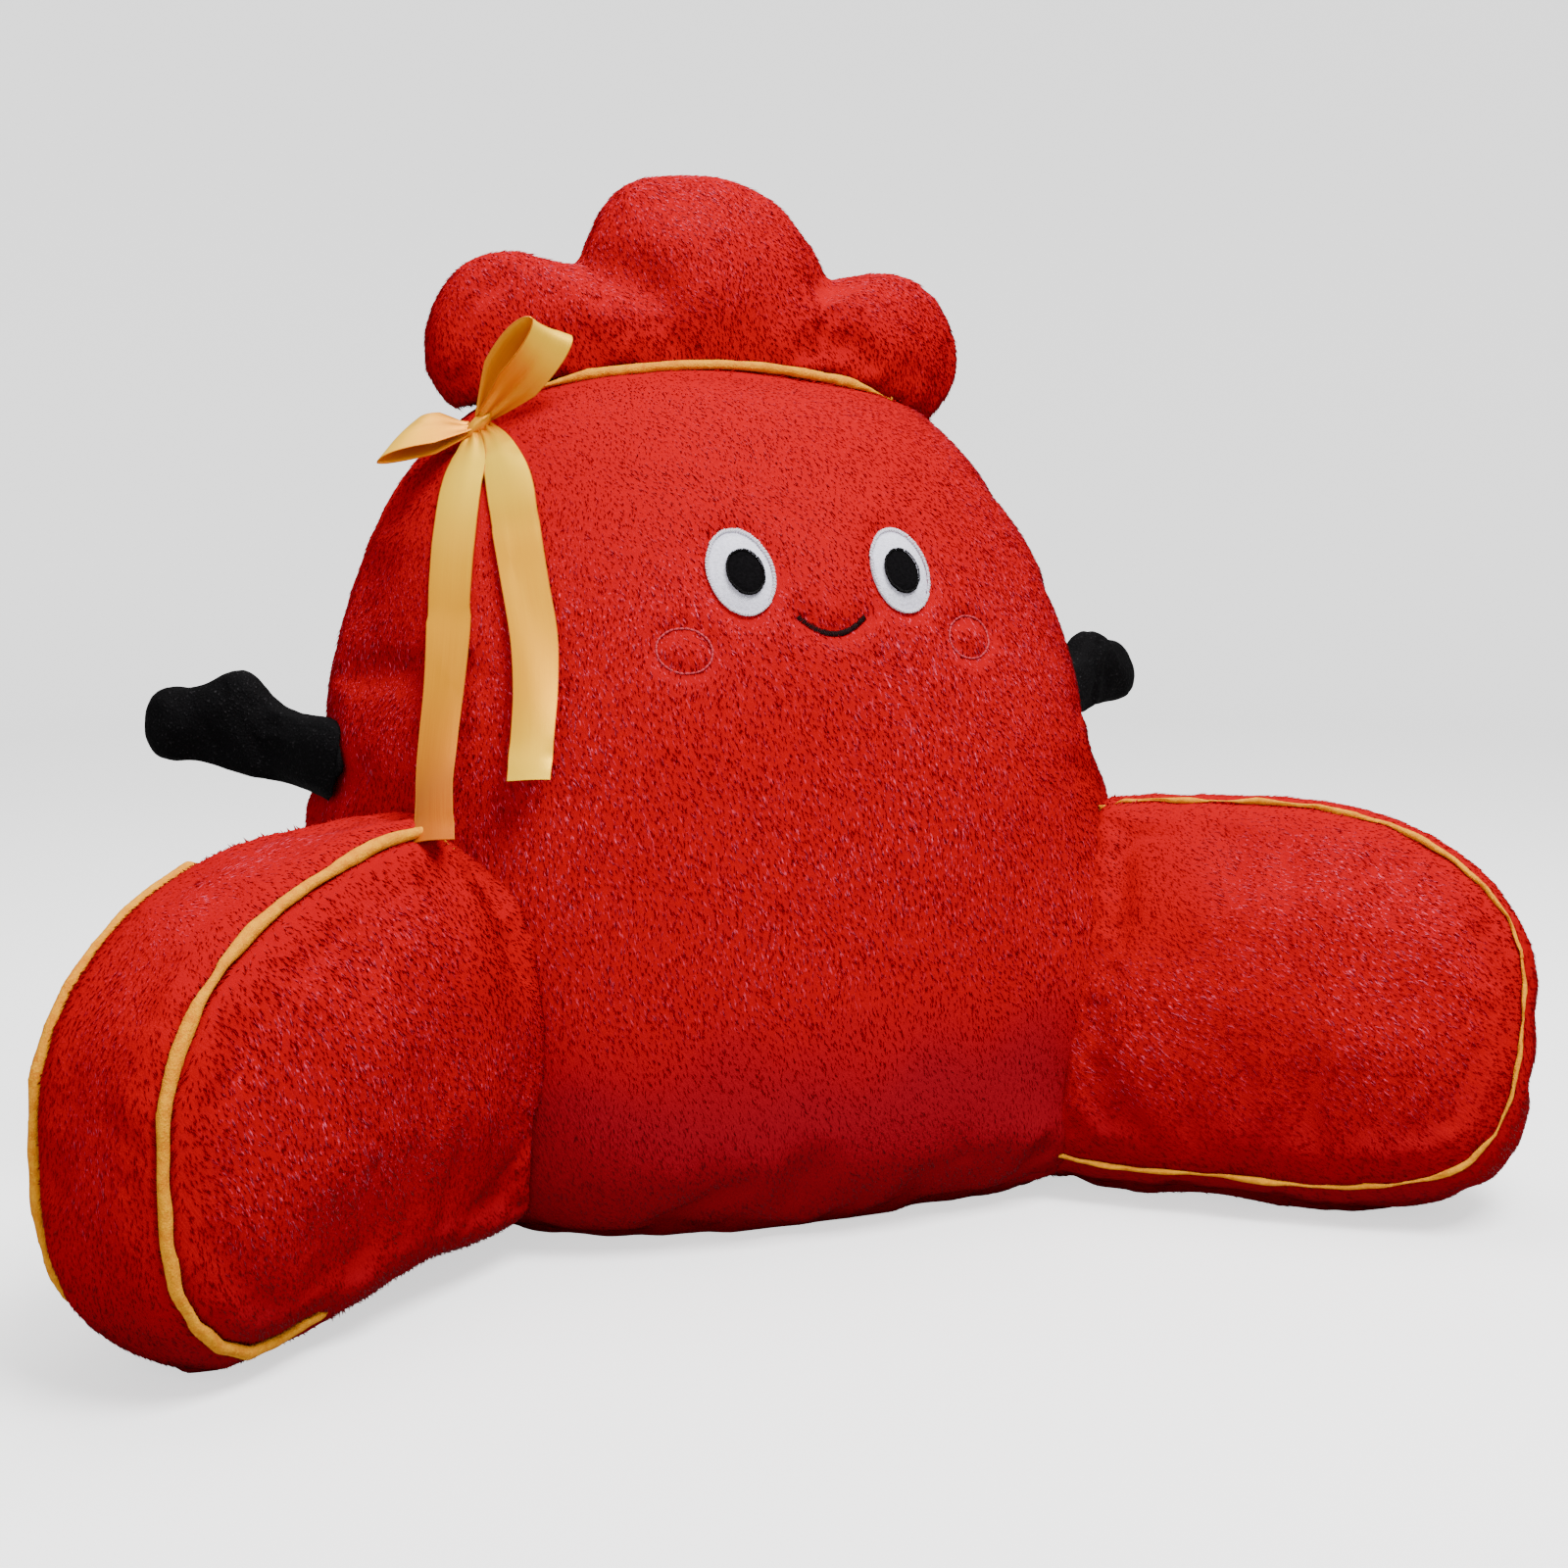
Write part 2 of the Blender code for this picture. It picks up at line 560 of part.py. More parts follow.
# ---------------------------------------------------------------- eyes
def eye_patch(patch, body, material):
    """An oval of felt that follows the backrest's front."""
    start = PATCH_GAP + patch.layer * (PATCH_THICKNESS + GAP)

    def ring(share, height):
        points = []
        for i in range(PATCH_STEPS):
            turn = 2 * math.pi * i / PATCH_STEPS
            points.append(on_front(patch.x + patch.half_width * share * math.cos(turn),
                                   patch.z + patch.half_height * share * math.sin(turn), height))
        return points

    def on_front(x, z, height):
        point, normal = body.ray_cast(Vector((x, -1.0, z)), Vector((0.0, 1.0, 0.0)))[:2]
        return point + normal * height

    end = start + PATCH_THICKNESS
    rings = [ring(0.5, start), ring(1.0, start), ring(1.0, end), ring(0.5, end)]
    under, over = on_front(patch.x, patch.z, start), on_front(patch.x, patch.z, end)
    return skin(patch.name, rings, material, start_pole=under, end_pole=over)


# ---------------------------------------------------------------- the pillow
def main():
    for obj in list(bpy.data.objects):
        bpy.data.objects.remove(obj, do_unlink=True)
    red = plush("red_plush", (0.60, 0.006, 0.012))
    yellow = plush("yellow_velour", (0.80, 0.33, 0.05))
    velour = plush("black_velour", (0.010, 0.009, 0.010), 0.95)
    satin = plush("gold_satin", (0.82, 0.42, 0.06), 0.35)

    surface = surface_of(backrest("backrest", red))
    grown = helper(backrest("backrest_cutter", None, grow=CUT_CLEARANCE))
    line = evenly([panel_point(2 * math.pi * i / 720) for i in range(720)], ARM_STEPS)
    normals = outward(line)
    for pose in ARM_POSES:
        cut(bolster(f"arm_{pose.word}", pose, line, normals, red), grown)
        for place, out in (("inner", 0.0), ("outer", GUSSET_WIDTH)):
            early = pose.word == "left" and place == "inner"
            root = CORD_ROOT_LEFT_INNER if early else CORD_ROOT
            cord = seam_cord(f"arm_{pose.word}_cord_{place}", pose, line, normals, out, root,
                             yellow)
            cut(cord, grown)

    top = crest("crest", red)
    path = band_path(surface, surface_of(top))
    band = tube("crest_band", path, BAND_RADIUS, yellow)
    cut(band, grown)
    cut(top, grown)
    cut(top, helper(tube("band_cutter", path, BAND_RADIUS + GAP)))

    for place in MITT_PLACES:
        cut(mitt(place, velour), grown)

    cut(knot("bow_knot", satin), grown)
    grown_knot = helper(knot("knot_cutter", None, grow=CUT_CLEARANCE))
    for shape in LOOP_SHAPES:
        cut(bow_loop(shape, satin), grown_knot)
    for word in TAIL_POINTS:
        cut(bow_tail(word, surface, satin), grown_knot)

    felts = {"white": plush("white_felt", (0.74, 0.74, 0.83)),
             "black": plush("black_felt", (0.012, 0.010, 0.012))}
    for patch in EYE_PATCHES:
        eye_patch(patch, surface, felts[patch.slot])

    for obj in bpy.data.objects:
        obj.location = (*CENTRE_SHIFT, 0.0)


main()
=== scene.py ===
"""Reading pillow with arms: the looks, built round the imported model. Metres, +Z up, front to -Y.

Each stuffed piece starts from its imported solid: the fabric is remeshed, filled by a cloth
simulation with its seams held, drawn in along the seams and covered with a short pile of
leaning locks. Cords, mitts, felt patches, stitching and the satin ribbon bow follow.
"""

import json
import math
from collections import namedtuple

import bpy
import numpy as np
from bpy.props import FloatProperty, FloatVectorProperty, PointerProperty
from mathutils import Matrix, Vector
from mathutils.bvhtree import BVHTree
from mathutils.kdtree import KDTree

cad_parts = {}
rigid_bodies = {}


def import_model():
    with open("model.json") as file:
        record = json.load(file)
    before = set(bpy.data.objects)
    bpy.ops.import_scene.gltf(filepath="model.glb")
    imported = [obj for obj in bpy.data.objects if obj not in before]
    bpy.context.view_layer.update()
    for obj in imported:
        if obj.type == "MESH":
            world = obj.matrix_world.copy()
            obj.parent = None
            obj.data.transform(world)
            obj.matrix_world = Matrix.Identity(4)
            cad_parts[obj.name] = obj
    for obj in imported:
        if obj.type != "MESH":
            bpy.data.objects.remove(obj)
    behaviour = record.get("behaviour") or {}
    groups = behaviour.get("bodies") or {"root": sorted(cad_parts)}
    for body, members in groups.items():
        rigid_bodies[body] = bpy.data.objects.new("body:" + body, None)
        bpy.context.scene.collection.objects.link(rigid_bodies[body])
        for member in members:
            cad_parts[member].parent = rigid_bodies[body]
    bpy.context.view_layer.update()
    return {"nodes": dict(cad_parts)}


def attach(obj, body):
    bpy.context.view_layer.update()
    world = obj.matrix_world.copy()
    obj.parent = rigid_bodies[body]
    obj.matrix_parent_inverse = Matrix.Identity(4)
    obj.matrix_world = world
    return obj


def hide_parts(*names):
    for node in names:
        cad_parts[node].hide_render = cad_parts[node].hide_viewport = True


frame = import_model()

bl_info = {
    "name": "Reading pillow with arms",
    "version": (1, 0, 0),
    "blender": (4, 5, 0),
    "location": "3D View > Sidebar > Pillow",
    "description": "Dresses the packed reading pillow with plush, cords, felt and ribbon",
    "category": "Object",
}

# ---------------------------------------------------------------- sizes
SHIFT = Vector((0.0005, -0.0146, 0.0))      # the sewing plan's middle, from the frame's origin
CUSHION_VOXEL = {"backrest": 0.0074, "arm": 0.0056, "crest": 0.0052, "mitt": 0.0032}
SLACK = 0.0035              # how far the fabric starts inside its full shape
SEAM_REACH = 0.022          # how far from a seam the fabric is held back
HELD_BELOW = 0.15           # fabric less free than this, from 0 at a seam to 1, is pinned
SIM_FRAMES = 20
FOOT_BAND = 0.0015          # what lies lower than this rests flat on the floor
CORD_VOXEL = 0.0014
# How much thinner each cord shows where its seam has sunk into the pile, and how unevenly.
# Within hidden of the backrest the cord dips under the pile.
SunkCord = namedtuple("SunkCord", "node thinner uneven hidden")
SUNK_CORDS = [
    SunkCord("arm_left_cord_inner", 0.0001, 0.0005, 0.050),
    SunkCord("arm_left_cord_outer", 0.0004, 0.0004, 0.112),
    SunkCord("arm_right_cord_inner", 0.0017, 0.0006, 0.016),
    SunkCord("arm_right_cord_outer", 0.0007, 0.0004, 0.006),
    SunkCord("crest_band", 0.0000, 0.0002, 0.0),
]
BAND_LEFT, BAND_RIGHT = -0.0680, 0.0600      # where the crest's cord begins to taper
ARM_SPLAY = {"left": math.radians(51.0), "right": math.radians(49.3)}
ARM_ROOTS = {"left": Vector((-0.1568, -0.0373, 0.0)), "right": Vector((0.1386, -0.0574, 0.0))}
# How near a cord's surface the arm's fabric is pulled in, negative inside the cord.
CORD_SINK = {"left": 0.0010, "right": -0.0013}
# Where the left arm's lower edge rolls over its inner cord: from here back to the backrest.
ROLL_FROM_Y, ROLL_BULGE = -0.124, 0.0070
SIDE_SEAM_FOOT_Y, SIDE_SEAM_RECLINE = 0.068, 0.095
CREST_Y = 0.107
MITT_BACKWARD = math.radians(33.0)
MITT_ROOTS = {"left": Vector((-0.188, 0.088, 0.0)), "right": Vector((0.180, 0.088, 0.0))}
# How far the left mitt's top and underside stand off their plan, by the distance from its root.
MITT_TOP = ((0.000, -0.0025), (0.020, -0.0010), (0.032, 0.0012), (0.042, 0.0024), (0.050, 0.0018),
            (0.060, 0.0006), (0.072, 0.0010), (0.080, 0.0034))
MITT_UNDERSIDE = ((-0.010, 0.0100), (0.010, 0.0070), (0.040, 0.0055), (0.055, 0.0030),
                  (0.070, 0.0014))

RIBBON_WIDTH = 0.0215
RIBBON_THICKNESS = 0.0004
BOW_TURN = math.radians(22.0)
BOW_RIGHT = Vector((math.cos(BOW_TURN), -math.sin(BOW_TURN), 0.0))
BOW_OUT = Vector((-math.sin(BOW_TURN), -math.cos(BOW_TURN), 0.0))
BOW_UP = Vector((0.0, 0.0, 1.0))
KNOT_CENTRE = Vector((-0.1256, 0.0640, 0.3604))
# Directions are to the right, up and out. slide shows the back layer beside the front one, and
# slant draws one edge of the far fold back.
LoopShape = namedtuple("LoopShape", "word length opening slide slant axis across")
LOOP_SHAPES = [
    LoopShape("right", 0.0534, 0.0085, -0.0060, 0.0015, (0.630, 0.777, 0.12),
              (0.62, -0.50, -0.60)),
    LoopShape("left", 0.0350, 0.0050, 0.0010, 0.0118, (-0.972, -0.236, 0.30),
              (0.236, -0.972, 1.20)),
]
LOOP_START = 0.0025         # how far from the knot's centre a loop begins and ends
LOOP_FROM, LOOP_TURN = 16.0, 328.0          # the turn of a loop's ribbon, in degrees
# The path of each tail: x, y, z and width, then how far the face turns from the backrest's own
# slope (0) towards the front (1), then its painted sheen: how pale the satin is painted there,
# a painted highlight where it catches the light and painted shade where it turns away.
TAIL_POINTS = {
    "left": [
        (-0.1275, 0.0640, 0.3590, 0.0055, 0.1, 0.25),
        (-0.1300, 0.0575, 0.3515, 0.0120, 0.1, 0.75),
        (-0.1333, 0.0515, 0.3435, 0.0180, 0.1, 1.0),
        (-0.1385, 0.0445, 0.3312, 0.0200, 0.1, 0.95),
        (-0.1445, 0.0330, 0.3105, 0.0208, 0.1, 0.68),
        (-0.1492, 0.0220, 0.2902, 0.0208, 0.1, 0.52),
        (-0.1534, 0.0097, 0.2680, 0.0202, 0.2, 0.42),
        (-0.1583, -0.0028, 0.2479, 0.0188, 0.3, 0.33),
        (-0.1639, -0.0163, 0.2301, 0.0180, 0.4, 0.22),
        (-0.1695, -0.0325, 0.2150, 0.0176, 0.4, 0.12),
        (-0.1750, -0.0530, 0.2030, 0.0172, 0.3, 0.05),
        (-0.1790, -0.0700, 0.1915, 0.0168, 0.3, 0.03),
    ],
    "right": [
        (-0.1225, 0.0620, 0.3600, 0.0060, 0.1, 0.3),
        (-0.1200, 0.0540, 0.3545, 0.0110, 0.1, 0.8),
        (-0.1200, 0.0425, 0.3455, 0.0175, 0.1, 1.0),
        (-0.1200, 0.0295, 0.3323, 0.0215, 0.1, 0.85),
        (-0.1212, 0.0130, 0.3105, 0.0212, 0.1, 0.56),
        (-0.1218, -0.0010, 0.2905, 0.0205, 0.1, 0.52),
        (-0.1221, -0.0150, 0.2685, 0.0203, 0.15, 0.5),
        (-0.1246, -0.0254, 0.2485, 0.0192, 0.2, 0.52),
        (-0.1278, -0.0327, 0.2326, 0.0186, 0.3, 0.66),
        (-0.1324, -0.0410, 0.2106, 0.0186, 0.3, 0.98),
    ],
}
TAIL_SLANT = {"left": 0.0020, "right": -0.0004}

Patch = namedtuple("Patch", "name x z half_width half_height lift thickness")
PATCHES = [
    Patch("eye_left", -0.0300, 0.2950, 0.0150, 0.0185, 0.0004, 0.0012),
    Patch("eye_right", 0.0470, 0.2950, 0.0150, 0.0185, 0.0004, 0.0012),
    Patch("pupil_left", -0.0290, 0.2945, 0.0082, 0.0095, 0.0019, 0.0010),
    Patch("pupil_right", 0.0460, 0.2945, 0.0082, 0.0095, 0.0019, 0.0010),
]
SMILE_CENTRE, SMILE_HALF, SMILE_DIP = (0.0090, 0.2720), 0.0160, 0.0075
CHEEK_CENTRES = {"left": (-0.0600, 0.2620), "right": (0.0800, 0.2650)}
CHEEK_HALF = (0.0120, 0.0095)

PILE_COUNTS = {"backrest_pile_front": 57000, "backrest_pile_back": 26000, "arm_left_pile": 34000,
               "arm_right_pile": 34000, "crest_pile": 22000}
NAP = {
    "backrest": (0.32, -0.20, -1.0),
    "arm_left": (0.42, 0.10, -0.90),
    "arm_right": (0.62, -0.50, -0.60),
    "crest": (0.45, -0.10, -0.90),
}
# Low down the pile is painted darker, as painted shade, and glints less: this is where that ends,
# by piece.
PAINTED_SHADE_BELOW = {"backrest": 0.098, "arm": 0.046, "crest": 0.0}
COMBED_OUT = 4.5            # how far the ground's grain is drawn out along the nap
SWAY, SEAM_LEAN = 0.22, 1.8         # how unevenly the locks lie, and how far they lean over a seam
ROOT_SUNK = 0.0005          # how deep a lock starts below the fabric
ROOT_FLOOR, TIP_FLOOR = 0.0002, 0.0006      # the lowest that a lock's root and tip come
# How far from each of these no lock grows, so that none comes through.
MITT_CLEAR, SATIN_CLEAR, FELT_CLEAR = 0.0015, 0.0026, 0.0014
CLEAR_REACH = 0.01

# Black felt, then the grey specks painted on the mitts' black velour as painted glints.
BLACK_FELT, PAINTED_GLINT_SPECKS = (0.0035, 0.0030, 0.0035), (0.030, 0.028, 0.030)
PALE_THREAD, DARK_THREAD = (0.80, 0.78, 0.86), (0.0030, 0.0026, 0.0030)
TONAL_THREAD = (0.50, 0.040, 0.062)
SELVAGE = (0.62, 0.19, 0.004)


# ---------------------------------------------------------------- settings a user would change
def a_length(name, description, default, least, most):
    return FloatProperty(name=name, description=description, default=default, min=least,
                         max=most, unit="LENGTH")


def a_colour(name, description, *default):
    return FloatVectorProperty(name=name, description=description, default=default, size=3,
                               subtype="COLOR")


class PillowSettings(bpy.types.PropertyGroup):
    """Sizes and colours of the reading pillow's finish."""

    pile_length: a_length("Pile length", "Length of a lock of pile", 0.0040, 0.001, 0.02)
    pile_width: a_length("Lock width", "Width of a lock at its root", 0.0013, 0.0003, 0.004)
    pile_lift: FloatProperty(name="Pile lift", description="How far a lock stands off the fabric",
                             default=math.radians(8.0), min=0.0, max=1.5, subtype="ANGLE")
    stuffing: FloatProperty(name="Stuffing", description="Pressure of the filling",
                            default=4.0, min=0.0, max=20.0)
    puff: a_length("Puff", "Most that the filling pushes the fabric out", 0.0055, 0.0, 0.03)
    # Painted shade: the pile's red at its shaded roots and over its shaded lower parts.
    painted_shade_red: a_colour("Deep red", "Pile in the shade of its roots", 0.195, 0.0065, 0.0130)
    bright_red: a_colour("Bright red", "Pile at its tips", 0.366, 0.0002, 0.0040)
    # Painted highlight: the colour of the glinting locks.
    glint: a_colour("Glint", "The lightest locks of the pile", 0.720, 0.0850, 0.1650)
    cord: a_colour("Cord", "Velour over the seam cords", 0.720, 0.2900, 0.0050)
    ribbon: a_colour("Ribbon", "Satin of the bow", 0.820, 0.3500, 0.0010)
    velour: a_colour("Velour", "Black velour of the mitts", 0.0028, 0.0026, 0.0029)
    felt: a_colour("Felt", "White felt of the eyes", 0.70, 0.69, 0.80)
    thread: a_colour("Thread", "Dark thread of the smile", 0.012, 0.0010, 0.0014)


def settings():
    return bpy.context.scene.reading_pillow


# ---------------------------------------------------------------- mesh helpers
def give(thing, **values):
    """Sets several values of one thing."""
    for name, value in values.items():
        setattr(thing, name, value)
    return thing


def only(piece):
    """Selects this piece alone."""
    bpy.ops.object.select_all(action="DESELECT")
    piece.select_set(True)
    bpy.context.view_layer.objects.active = piece


def started(add, name, **values):
    """A new piece, begun with a primitive."""
    bpy.ops.object.select_all(action="DESELECT")
    add(**values)
    piece = bpy.context.object
    piece.name = piece.data.name = name
    return piece


def modify(piece, kind, **values):
    """Adds a modifier and applies it."""
    only(piece)
    modifier = give(piece.modifiers.new(kind.lower(), kind), **values)
    bpy.ops.object.modifier_apply(modifier=modifier.name)


def edit(piece, act, **values):
    """Runs one edit-mode step on a whole piece."""
    only(piece)
    bpy.ops.object.mode_set(mode="EDIT")
    bpy.ops.mesh.select_all(action="SELECT")
    act(**values)
    bpy.ops.object.mode_set(mode="OBJECT")


def remeshed(node, name, voxel):
    """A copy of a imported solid, its loose triangles merged and its surface remeshed."""
    piece = bpy.data.objects.new(name, frame["nodes"][node].data.copy())
    piece.data.name = name
    piece.data.materials.clear()
    bpy.context.scene.collection.objects.link(piece)
    edit(piece, bpy.ops.mesh.remove_doubles, threshold=0.00002)
    modify(piece, "REMESH", mode="VOXEL", voxel_size=voxel, use_smooth_shade=True)
    modify(piece, "SMOOTH", factor=0.5, iterations=2)
    return piece


def points_of(piece, key="co"):
    points = np.empty(len(piece.data.vertices) * 3, np.float32)
    piece.data.vertices.foreach_get(key, points)
    return points.reshape(-1, 3).astype(float)


def normals_of(piece):
    return points_of(piece, "normal")


def place_points(piece, points):
    piece.data.vertices.foreach_set("co", points.astype(np.float32).ravel())
    piece.data.update()


def above_floor(points):
    points[:, 2] = np.maximum(points[:, 2], 0.0)
    return points


def unit(vectors):
    return vectors / np.maximum(np.linalg.norm(vectors, axis=-1, keepdims=True), 1e-9)


def rise(values, start, over):
    """0 before the start, then smoothly up to 1 over a length."""
    share = np.clip((values - start) / over, 0.0, 1.0)
    return share * share * (3 - 2 * share)


def fall(values, end, over):
    """1 at first, then smoothly down over a length to 0 at the end."""
    return rise(end - values, 0.0, over)


def hump(values, middle, half):
    """1 in the middle, and soon nothing beyond half on either side."""
    return np.exp(-((values - middle) / half) ** 2)


def waves(points, size, seed):
    """A smooth value of about -1 to 1 at each point, in lumps about size across."""
    rng = np.random.default_rng(seed)
    total = np.zeros(len(points))
    for _ in range(7):
        direction = unit(rng.normal(size=3))
        pitch = 2 * math.pi / size * rng.uniform(0.6, 1.3)
        total += np.sin(points @ direction * pitch + rng.uniform(0, 2 * math.pi))
    return total / 3.0


def tree_of(*pieces):
    """One surface for measuring on, from several pieces."""
    points, faces = [], []
    for piece in pieces:
        start = len(points)
        points += [vertex.co.copy() for vertex in piece.data.vertices]
        faces += [[start + i for i in face.vertices] for face in piece.data.polygons]
    return BVHTree.FromPolygons(points, faces)


def solids(*nodes):
    """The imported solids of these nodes, as one surface for measuring on."""
    return tree_of(*(frame["nodes"][node] for node in nodes))


def pieces_named(*endings):
    """The finished pieces whose names end so, as one surface for measuring on."""
    return tree_of(*(piece for piece in bpy.data.objects if piece.name.endswith(endings)))


def nearest_on(tree, points, reach=0.05):
    """Signed distance from each point to a surface, negative inside it, and the way there."""
    gaps, ways = np.full(len(points), reach), np.zeros((len(points), 3))
    for i, point in enumerate(points):
        point = Vector(point)
        near, normal, _, distance = tree.find_nearest(point, reach)
        if near is not None:
            gaps[i] = -distance if (point - near).dot(normal) < 0 else distance
            ways[i] = near - point
    return gaps, ways


def gap_to(tree, points, reach=0.05):
    return nearest_on(tree, points, reach)[0]


def gap_to_line(line, points):
    """Distance from each point to a row of close points."""
    tree = KDTree(len(line))
    for i, point in enumerate(line):
        tree.insert(point, i)
    tree.balance()
    return np.array([tree.find(point)[2] for point in points])


def smooth_row(rows, at):
    """The row at a fractional index, on a Catmull-Rom curve through the table."""
    last = len(rows) - 1
    index = min(int(at), last - 1)
    t = at - index
    before, start = rows[max(index - 1, 0)], rows[index]
    end, after = rows[index + 1], rows[min(index + 2, last)]
    return [0.5 * (2 * b + (c - a) * t + (2 * a - 5 * b + 4 * c - d) * t * t
                   + (3 * b - a - 3 * c + d) * t ** 3)
            for a, b, c, d in zip(before, start, end, after)]


def path_length(path):
    return sum((b - a).length for a, b in zip(path, path[1:]))


def store(piece, **layers):
    """Keeps a number or a vector for each point of a piece."""
    for key, values in layers.items():
        kind, field = ("FLOAT_VECTOR", "vector") if values.ndim == 2 else ("FLOAT", "value")
        layer = piece.data.attributes.new(key, kind, "POINT")
        layer.data.foreach_set(field, values.astype(np.float32).ravel())


def joined(name, verts, faces):
    """A mesh of many small closed shapes."""
    mesh = bpy.data.meshes.new(name)
    size = faces.shape[1]
    mesh.vertices.add(len(verts))
    mesh.vertices.foreach_set("co", verts.astype(np.float32).ravel())
    mesh.loops.add(faces.size)
    mesh.loops.foreach_set("vertex_index", faces.astype(np.int32).ravel())
    mesh.polygons.add(len(faces))
    mesh.polygons.foreach_set("loop_start", np.arange(0, faces.size, size, dtype=np.int32))
    mesh.update(calc_edges=True)
    mesh.shade_smooth()
    piece = bpy.data.objects.new(name, mesh)
    bpy.context.scene.collection.objects.link(piece)
    return piece


def finish(piece, material, *nodes, slot=None):
    """Gives a piece its material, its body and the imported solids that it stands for."""
    piece.data.materials.clear()
    piece.data.materials.append(material)
    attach(piece, "root")
    if nodes:
        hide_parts(*nodes)
    return piece


# ---------------------------------------------------------------- stuffed pieces
def stuffed(node, name, seam_gap):
    """Remeshes a solid's surface, starts it slack and lets the filling push it out.

    seam_gap gives each point's distance to the nearest seam, where the fabric is held."""
    piece = remeshed(node, name, CUSHION_VOXEL[node.split("_")[0]])
    full = points_of(piece)
    away = rise(seam_gap(full), 0.0, SEAM_REACH)
    flat = full[:, 2] < FOOT_BAND
    start = full - normals_of(piece) * (SLACK * away)[:, None]
    start[flat, 2] = 0.0
    place_points(piece, start)
    held = piece.vertex_groups.new(name="held")
    held.add(np.nonzero((away < HELD_BELOW) | flat)[0].tolist(), 1.0, "REPLACE")
    fill(piece, held.name)
    moved = points_of(piece) - start
    reach = np.maximum(np.linalg.norm(moved, axis=1), 1e-9)
    moved *= np.minimum(1.0, settings().puff * away / reach)[:, None]
    settled = start + moved
    settled[flat, 2] = 0.0
    place_points(piece, above_floor(settled))
    piece.vertex_groups.clear()
    modify(piece, "SUBSURF", levels=1, render_levels=1)
    piece.data.shade_smooth()
    return piece


def fill(piece, held):
    """A cloth simulation under the pressure of the filling, then applied."""
    only(piece)
    cloth = piece.modifiers.new("filling", "CLOTH")
    give(cloth.settings, quality=4, mass=0.25, tension_stiffness=10.0,
         compression_stiffness=10.0, bending_stiffness=0.6, shrink_min=-0.03, use_pressure=True,
         uniform_pressure_force=settings().stuffing, vertex_group_mass=held)
    cloth.settings.effector_weights.gravity = 0.0
    give(cloth.collision_settings, use_collision=False, use_self_collision=False)
    give(cloth.point_cache, frame_start=1, frame_end=SIM_FRAMES)
    for step in range(1, SIM_FRAMES + 1):
        bpy.context.scene.frame_set(step)
    bpy.ops.object.modifier_apply(modifier=cloth.name)
    bpy.context.scene.frame_set(1)


def draw_in(piece, gaps, depth, width):
    """Pulls the fabric in where it lies close to a seam."""
    pull = depth * hump(gaps, 0.0, width)
    place_points(piece, above_floor(points_of(piece) - normals_of(piece) * pull[:, None]))


def side_seam_side(points):
    """Negative in front of the backrest's side seam, which runs over the crown, else positive."""
    return points[:, 1] - SHIFT.y - SIDE_SEAM_FOOT_Y - SIDE_SEAM_RECLINE * points[:, 2]


def side_seam_gap(points):
    return np.abs(side_seam_side(points))


def limb_plan(kind, word):
    """An arm's or a mitt's root, and the ways ahead along it and across it."""
    side = -1 if word == "left" else 1
    if kind == "arm":
        root = ARM_ROOTS[word]
        ahead = (side * math.sin(ARM_SPLAY[word]), -math.cos(ARM_SPLAY[word]), 0.0)
    else:
        root = MITT_ROOTS[word]
        ahead = (side * math.cos(MITT_BACKWARD), math.sin(MITT_BACKWARD), 0.0)
    return np.array(root + SHIFT), np.array(ahead), np.array((-ahead[1], ahead[0], 0.0))


